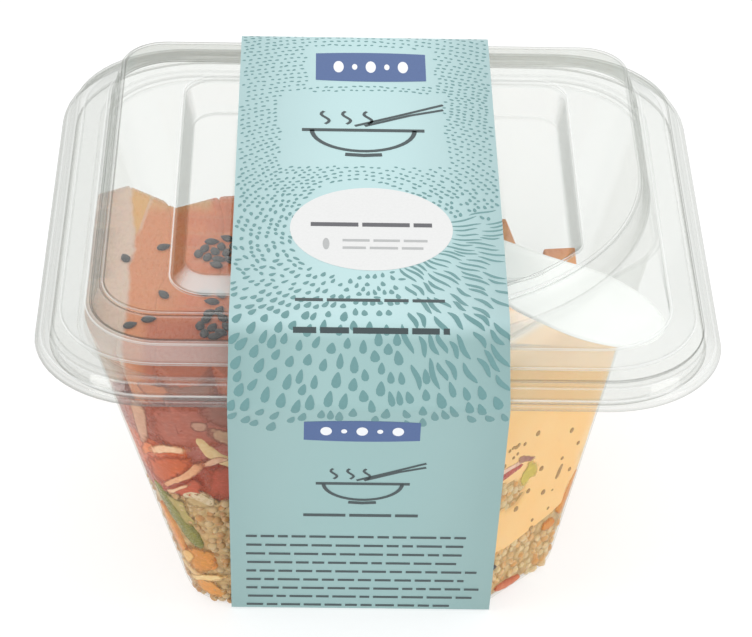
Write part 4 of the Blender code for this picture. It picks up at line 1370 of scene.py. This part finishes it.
def cutPoint(low, high, t, turn):
    # t runs along the cut and turn round its blunt section
    wide = 0 if high[1] - low[1] > high[0] - low[0] else 1
    long = 1 - wide
    end = math.sqrt(max(1 - max(1 - (1 - t) / 0.05, 0) ** 2, 0.02))
    end *= math.sqrt(max(1 - max(1 - t / 0.02, 0) ** 2, 0.1))
    sideways = math.copysign(abs(math.cos(turn)) ** 0.09, math.cos(turn))
    upwards = math.copysign(abs(math.sin(turn)) ** 0.1, math.sin(turn))
    place = [0, 0, 0]
    place[long] = mix(low[long], high[long], t)
    for axis, share in ((wide, sideways), (2, upwards)):
        start, stop = low[axis] - fishCut["grow"], high[axis] + fishCut["grow"]
        place[axis] = mix(start, stop, (1 + end * share) / 2)
    if high[2] > 74:
        place[1] += (np.interp(place[0], *fishEnds) + fishCut["farther"] - high[1]) * ramp(0.6, 1, t)
    swell = 0.25 * math.sin(0.35 * place[0] + 0.22 * place[1]) * (upwards > 0)
    place[2] += 0.1 * math.sin(place[long] / 6) + swell
    sway = np.interp(place[1], *fishSway) * ramp(-58, -54, place[0])
    height = (place[2] - tub["bottom"]) / (tub["top"] - tub["bottom"])
    half = mix(tub["baseHalf"], tub["topHalf"], height) - fishCut["gap"]
    share = half / (tub["topHalf"] - fishCut["gap"])
    return heldIn(np.array([(place[0] + sway) * share, place[1] * share, place[2]]), foodInset)


def makeCut(name, node, low, high, finish, slot):
    stations, section = fishCut["stations"], fishCut["section"]
    points = []
    for station in range(stations + 1):
        for k in range(section):
            turn = 2 * math.pi * (k + 0.5) / section
            points.append(cutPoint(low, high, station / stations, turn))
    faces = tubeFaces(stations + 1, section)
    if high[1] - low[1] > high[0] - low[0]:
        faces = [f[::-1] for f in faces]
    return newPiece(name, points, faces, finish, slot, [node])


def makeFish():
    looks = {key: fishFinish(key, look) for key, look in fishLooks.items()}
    return [makeCut(name, node, low, high, looks[look], "orange_vegetable" if look == "carrot" else "trout")
            for name, (node, low, high, look) in fishCuts.items()]


fish = makeFish()
print("fish made")


# Fat, flesh and shreds as they show pressed against the wall, and one painted pink highlight: outline in
# distance and height, how far it stands before the rest, its colour, the colour that its edge fades to, and a
# node's name where it replaces one

redFlesh = (0.45, 0.085, 0.03)
pressed = {
    "dullFlesh": ([(-91, 64.5), (-74, 66.5), (-68, 62), (-70, 53), (-80, 50.5), (-89.5, 50.5)], 0.02,
                  (0.42, 0.13, 0.085), redFlesh),
    "brownFlesh": ([(-80, 66.5), (-69, 67), (-66, 60), (-72, 57.5), (-79, 60)], 0.04,
                   (0.34, 0.14, 0.1), (0.42, 0.13, 0.085)),
    "beigeFat": ([(-95.5, 64), (-91, 64), (-89.6, 56), (-89.2, 50), (-91.5, 47.5), (-93.8, 54)], 0.04,
                 (0.62, 0.36, 0.22), (0.5, 0.2, 0.12)),
    "orangeTop": ([(-93.5, 70), (-86, 70.5), (-85.5, 67), (-91, 65.5)], 0.04,
                  (0.72, 0.22, 0.07), (0.6, 0.2, 0.1)),
    "brightFlesh": ([(-90.8, 41.4), (-89.6, 45.5), (-86.3, 47.6), (-82.5, 49.3), (-78.8, 49.6), (-77.6, 46.8),
                     (-79.2, 43.3), (-82.2, 40.2), (-86.4, 36.2)], 0.04,
                    (0.54, 0.095, 0.009), (0.5, 0.09, 0.02)),
    "brightEdge": ([(-92.2, 46), (-90.3, 50.2), (-87.4, 50.4), (-86.2, 48.2), (-89, 46.2),
                    (-90.8, 43.8)], 0.05, (0.76, 0.2, 0.04), (0.6, 0.15, 0.05)),
    "fatBandTop": ([(-90.2, 47.2), (-88.4, 50.2), (-85.6, 52), (-82.4, 52.4), (-79.4, 51.8), (-79.8, 50),
                    (-82.6, 49.6), (-85.4, 48.6), (-88, 46.8)], 0.07, (0.84, 0.55, 0.34), (0.72, 0.32, 0.14)),
    "fatBandLow": ([(-86.2, 36), (-83.6, 39.9), (-81, 43), (-79, 46), (-77.6, 48.6), (-75.6, 47.4), (-77, 44),
                    (-79.6, 41), (-82.6, 38.2), (-85, 35.4)], 0.07, (0.78, 0.42, 0.22), (0.62, 0.2, 0.08)),
    "redUnder": ([(-84.4, 36.1), (-81.2, 39.4), (-77.2, 42.4), (-75, 39), (-77.4, 35.6), (-80.8, 35.2)], 0.05,
                 (0.5, 0.08, 0.025), redFlesh),
    "redRight": ([(-76.4, 45.4), (-71.5, 47.6), (-66, 46), (-66, 37), (-70.4, 34.6), (-75.4, 37.6)], 0.05,
                 (0.48, 0.065, 0.02), redFlesh),
    "wavyFat": ([(-85.2, 35.2), (-83.2, 36.2), (-81.6, 38), (-79.9, 39.8), (-78.2, 40.9), (-78.4, 39.8),
                 (-80.2, 38), (-81.6, 36.2), (-83, 34.6)], 0.09, (0.84, 0.56, 0.34), (0.6, 0.2, 0.08)),
    "fatRight": ([(-77.4, 46.6), (-75.6, 48.9), (-72.8, 49.6), (-70.6, 48.6), (-73, 47.4), (-75.6, 46)], 0.07,
                 (0.8, 0.5, 0.32), (0.6, 0.2, 0.1)),
    "paleSpot": ([(-80.8, 60.6), (-77.4, 60), (-76.4, 57.4), (-78.8, 56.8), (-81, 58.4)], 0.06,
                 (0.55, 0.3, 0.2), (0.42, 0.15, 0.1)),
    "paleSpotRight": ([(-77.6, 59), (-73, 58), (-68, 55.5), (-70, 52), (-74, 53.2), (-77.4, 56)], 0.06,
                      (0.56, 0.34, 0.2), (0.42, 0.15, 0.1)),
    "onionLeft": ([(-85, 34.6), (-82.6, 35), (-79.6, 34), (-77.2, 29.4), (-74.6, 26), (-77.6, 25.4),
                   (-81, 29.6), (-83.8, 32.8)], 0.03, (0.42, 0.32, 0.09), (0.38, 0.26, 0.07)),
    "onionPale": ([(-79.6, 35.4), (-77, 37.8), (-73.6, 36.4), (-72, 33.4), (-75, 32.4), (-78, 32.8)], 0.05,
                  (0.52, 0.36, 0.16), (0.42, 0.26, 0.09)),
    "creamOval": ([(-79.6, 14.8), (-77, 16.6), (-74.8, 15.4), (-75.6, 11.6), (-77.6, 11)], 0.09,
                  (0.78, 0.48, 0.16), (0.72, 0.34, 0.07)),
    "orangeMiddle": ([(-78.4, 17.4), (-74.6, 19.4), (-70.6, 18.8), (-69.4, 14), (-71.4, 9.8), (-74.6, 8.2),
                      (-77, 11)], 0.06, (0.63, 0.24, 0.02), (0.56, 0.22, 0.04)),
    "orangeLow": ([(-76.6, 8.8), (-72, 8), (-68.6, 7.4), (-65.4, 3.4), (-66, 2.2), (-70, 2.1),
                   (-74, 3.6)], 0.05, (0.72, 0.28, 0.04), (0.62, 0.3, 0.08)),
    "brownBlur": ([(-87, 70.4), (-78, 71.4), (-76.5, 69.2), (-80, 68), (-86.4, 68.2)], 0.06,
                  (0.36, 0.12, 0.07), (0.5, 0.16, 0.07)),
    # painted highlight: a pale pink sheen over the red pepper strip, laid as a pad
    "pinkPaintedHighlight": ([(-12.5, 37.6), (-7, 37.2), (-2.8, 36.8), (-2.4, 35.6), (-7, 35.7), (-12.5, 35.6)], 0.1,
                (0.84, 0.56, 0.44), (0.84, 0.5, 0.34)),
    "plumTip": ([(-4.2, 37.9), (-2.6, 37.9), (-0.6, 36.9), (2.2, 35.1), (1.0, 34.5), (-1.4, 35.5),
                 (-3.6, 36.2)], 0.12, (0.3, 0.12, 0.1), (0.55, 0.3, 0.2)),
    "leaf": ([(-3.4, 30.2), (-3, 32), (-1.8, 33.6), (-0.4, 35.2), (1.7, 34.7), (3.5, 32.2), (3, 29.6),
              (1.0, 29.6), (-1, 28.2)], 0.11, (0.58, 0.45, 0.06), (0.66, 0.5, 0.11), "pepper_leaf"),
    "creamLow": ([(-76.8, 6.4), (-73, 9.2), (-69, 10.8), (-66.4, 10.2), (-69, 8.6), (-73, 6.8),
                  (-75.6, 4.9)], 0.09, (0.86, 0.64, 0.32), (0.78, 0.42, 0.12)),
}


def pressedFinish(name, colour, fade):
    shop = Finish(name)
    away = shop.read("away")
    cloud = shop.noise(2.2, 3, shop.place((1, 1, 0.7)), 0.8)
    fine = shop.noise(0.6, 2)
    streak = shop.noise(1.3, 3, shop.place((1, 1, 2.2)), 0.6)
    light = tuple(min(c * 1.35 + 0.04, 1) for c in colour)
    shade = shop.blend(shop.soft(cloud, 0.3, 0.75) * 0.55, colour, fade)
    shade = shop.blend(shop.soft(streak, 0.48, 0.72) * 0.45, shade, light)
    ragged = away + (cloud - 0.5) * 1.1 + (shop.noise(0.9, 2) - 0.5) * 0.5
    shade = shop.blend(shop.soft(ragged, 0.3, 0.8), fade, shade)
    cover = shop.soft(ragged, 0.0, 0.8)
    return shop.moist(shade, 0.28 + fine * 0.1, shop.bump(cloud, 0.15, 0.4), 0.25, (3, 1.5, 1),
                      Alpha=cover, Specular_IOR_Level=0.35)


def pressedPiece(name, outlinePoints, lift, finish, slot, nodes=()):
    # a thin pad whose face lies on the wall and whose back is in the food
    line = curve(outlinePoints, 64, True)
    count = len(line)
    middle = line.mean(0)
    shares = [(1.0, 0.35), (0.96, 0.12), (0.88, 0), (0.76, 0), (0.64, 0), (0.5, 0), (0.34, 0), (0.16, 0)]
    points, away = [], []
    for share, back in shares:
        for spot in middle + (line - middle) * share:
            points.append(wallSpot(spot[0], spot[1], foodInset - lift + back)[0])
            away.append(min((1 - share) / 0.6, 1))
    points.append(wallSpot(middle[0], middle[1], foodInset - lift)[0])
    away.append(1)
    faces = [(a, d, c, b) for a, b, c, d in gridFaces(len(shares), count)]
    first = (len(shares) - 1) * count
    faces += [(first + (k + 1) % count, first + k, len(points) - 1) for k in range(count)]
    faces.append(tuple(range(count)))
    piece = newPiece(name, points, faces, finish, slot, nodes)
    paint(piece.data, "away", away)
    return piece


def makePressed():
    kinds = {"onion": "cabbage", "cream": "cabbage", "orange": "orange_vegetable", "leaf": "pepper_leaf",
             "plum": "red_pepper", "pink": "red_pepper"}
    for name, (line, lift, colour, fade, *nodes) in pressed.items():
        slot = next((kinds[key] for key in kinds if name.startswith(key)), "trout")
        pressedPiece(name, line, lift, pressedFinish(name, colour, fade), slot, nodes)


makePressed()
print("pads made")


# Black sesame on the fish

sesame = {
    "length": 3.3, "width": 1.95, "raised": 0.35, "apart": 3.4,
    "seen": [(-52.8, -20.9), (-45.0, -15.9), (-44.3, -34.4), (-46.9, -43.0), (-50.6, -45.1), (-31.8, -12.0),
             (-36.3, -16.4), (-35.6, -20.0), (-34.2, -17.6), (-32.9, -15.4), (-31.6, -17.9), (-33.2, -21.0),
             (-31.0, -20.9), (-36.0, -33.2), (-34.3, -36.2), (-32.6, -33.6), (-35.2, -42.6), (-33.8, -45.6),
             (-31.9, -42.0), (-31.0, -45.2), (-33.2, -49.0), (-34.6, -40.2), (-32.6, -39.4), (-36.4, -45.2),
             (-32.2, -47.4), (-35.4, -48.0), (-34.9, -13.6), (-33.8, -23.2), (-30.2, -14.8), (-37.6, -18.6)],
    "more": 8, "moreX": (-29.5, -24), "moreY": (-54, 2),    # by chance, where the sleeve hides them
}


def seedShape():
    stations, section = 9, 10
    points = [(-0.5, 0, 0)]
    for station in range(stations):
        x = (station + 1) / (stations + 1)
        half = math.sin(math.pi * x ** 0.8) ** 0.8
        for k in range(section):
            turn = 2 * math.pi * k / section
            points.append((x - 0.5, 0.5 * half * math.cos(turn), 0.3 * half * math.sin(turn)))
    points.append((0.5, 0, 0))
    return np.array(points), [f[::-1] for f in beadFaces(stations, section)]


def makeSeeds():
    chance = random.Random(12)
    trees = []
    for piece in fish:
        if piece.name.startswith("troutTop"):
            mesh = piece.data
            trees.append(BVHTree.FromPolygons([v.co for v in mesh.vertices],
                                              [p.vertices for p in mesh.polygons]))
    spots = list(sesame["seen"])
    while len(spots) < len(sesame["seen"]) + sesame["more"]:
        spot = (chance.uniform(*sesame["moreX"]), chance.uniform(*sesame["moreY"]))
        if min(math.dist(spot, other) for other in spots) > sesame["apart"]:
            spots.append(spot)
    base, faces = seedShape()
    base = base * np.array([sesame["length"], sesame["width"], sesame["width"]])
    points = []
    for x, y in spots:
        hits = [tree.ray_cast(Vector((x, y, 90)) * mm, Vector((0, 0, -1))) for tree in trees]
        hits = [hit for hit in hits if hit[0] is not None]
        if not hits:
            continue
        place, normal = max(hits, key=lambda hit: hit[0].z)[:2]
        if normal.z < 0.5:
            continue
        side = Matrix.Rotation(chance.uniform(0, math.pi), 3, "Z") @ Vector((1, 0, 0))
        side = (side - normal * side.dot(normal)).normalized()
        across = normal.cross(side)
        axes = np.array([side, across, normal])
        points.append(base @ axes + np.array(place) / mm + np.array(normal) * sesame["raised"])
    faces = repeated(faces, len(points), len(base))
    return newPiece("sesameSeeds", np.vstack(points), faces, seedLook, "trout")


makeSeeds()
print("seeds made")


# Stage, light and camera

camera = {
    "place": (-15.105, -594.447, 453.630), "yaw": 0.0263902, "pitch": 0.5987733, "roll": 0.0273147,
    "focal": 3271.310, "picture": 752,
}
light = {
    "world": 0.92, "floor": (0.4, 0.4, 0.4), "floorHalf": 3.0, "floorHigh": -0.0002, "glow": 0.67,
    "boxes": {                              # place, size and power
        "keyBox": ((-0.7, -0.5, 0.9), (0.5, 0.5), 2.6),
        "fillBox": ((0.8, -0.3, 0.7), (0.4, 0.6), 1.4),
        "backBox": ((0.0, 1.0, 0.8), (1.3, 0.7), 1.2),
    },
}


def makeStage():
    size, z = light["floorHalf"], light["floorHigh"]
    mesh = bpy.data.meshes.new("floor")
    corners = [(-size, -size, z), (size, -size, z), (size, size, z), (-size, size, z)]
    mesh.from_pydata(corners, [], [(0, 1, 2, 3)])
    floor = inScene("floor", mesh)
    shop = Finish("floor")
    mesh.materials.append(shop.done(shop.surface(light["floor"], 0.9, Specular_IOR_Level=0.0,
                                                 Emission_Color=(1, 1, 1), Emission_Strength=light["glow"])))


def areaLight(name, place, size, power, target=(0, 0, 0.04)):
    data = bpy.data.lights.new(name, "AREA")
    data.shape = "RECTANGLE"
    data.size, data.size_y = size
    data.energy = power
    lamp = inScene(name, data)
    lamp.location = place
    lamp.rotation_euler = (Vector(target) - Vector(place)).to_track_quat("-Z", "Y").to_euler()


def makeLight():
    world = bpy.data.worlds.new("studio")
    world.use_nodes = True
    sky = world.node_tree.nodes["Background"]
    sky.inputs["Color"].default_value = (1, 1, 1, 1)
    sky.inputs["Strength"].default_value = light["world"]
    bpy.context.scene.world = world
    for name, box in light["boxes"].items():
        areaLight(name, *box)


def makeCamera():
    yaw, pitch, roll = camera["yaw"], camera["pitch"], camera["roll"]
    ahead = Vector((math.sin(yaw) * math.cos(pitch), math.cos(yaw) * math.cos(pitch), -math.sin(pitch)))
    right = Vector((math.cos(yaw), -math.sin(yaw), 0))
    up = right.cross(ahead)
    side = math.cos(roll) * right + math.sin(roll) * up
    top = -math.sin(roll) * right + math.cos(roll) * up
    data = bpy.data.cameras.new("photoCamera")
    data.sensor_width = 36
    data.lens = 36 * camera["focal"] / camera["picture"]
    data.clip_start = 0.01
    made = inScene("photoCamera", data)
    matrix = Matrix((side, top, -ahead)).transposed().to_4x4()
    matrix.translation = Vector(camera["place"]) * mm
    made.matrix_world = matrix
    bpy.context.scene.camera = made


makeStage()
makeLight()
makeCamera()
scene = bpy.context.scene
scene.view_settings.view_transform = "Standard"
scene.cycles.transparent_max_bounces = 40
scene.cycles.max_bounces = 10
print("stage made")
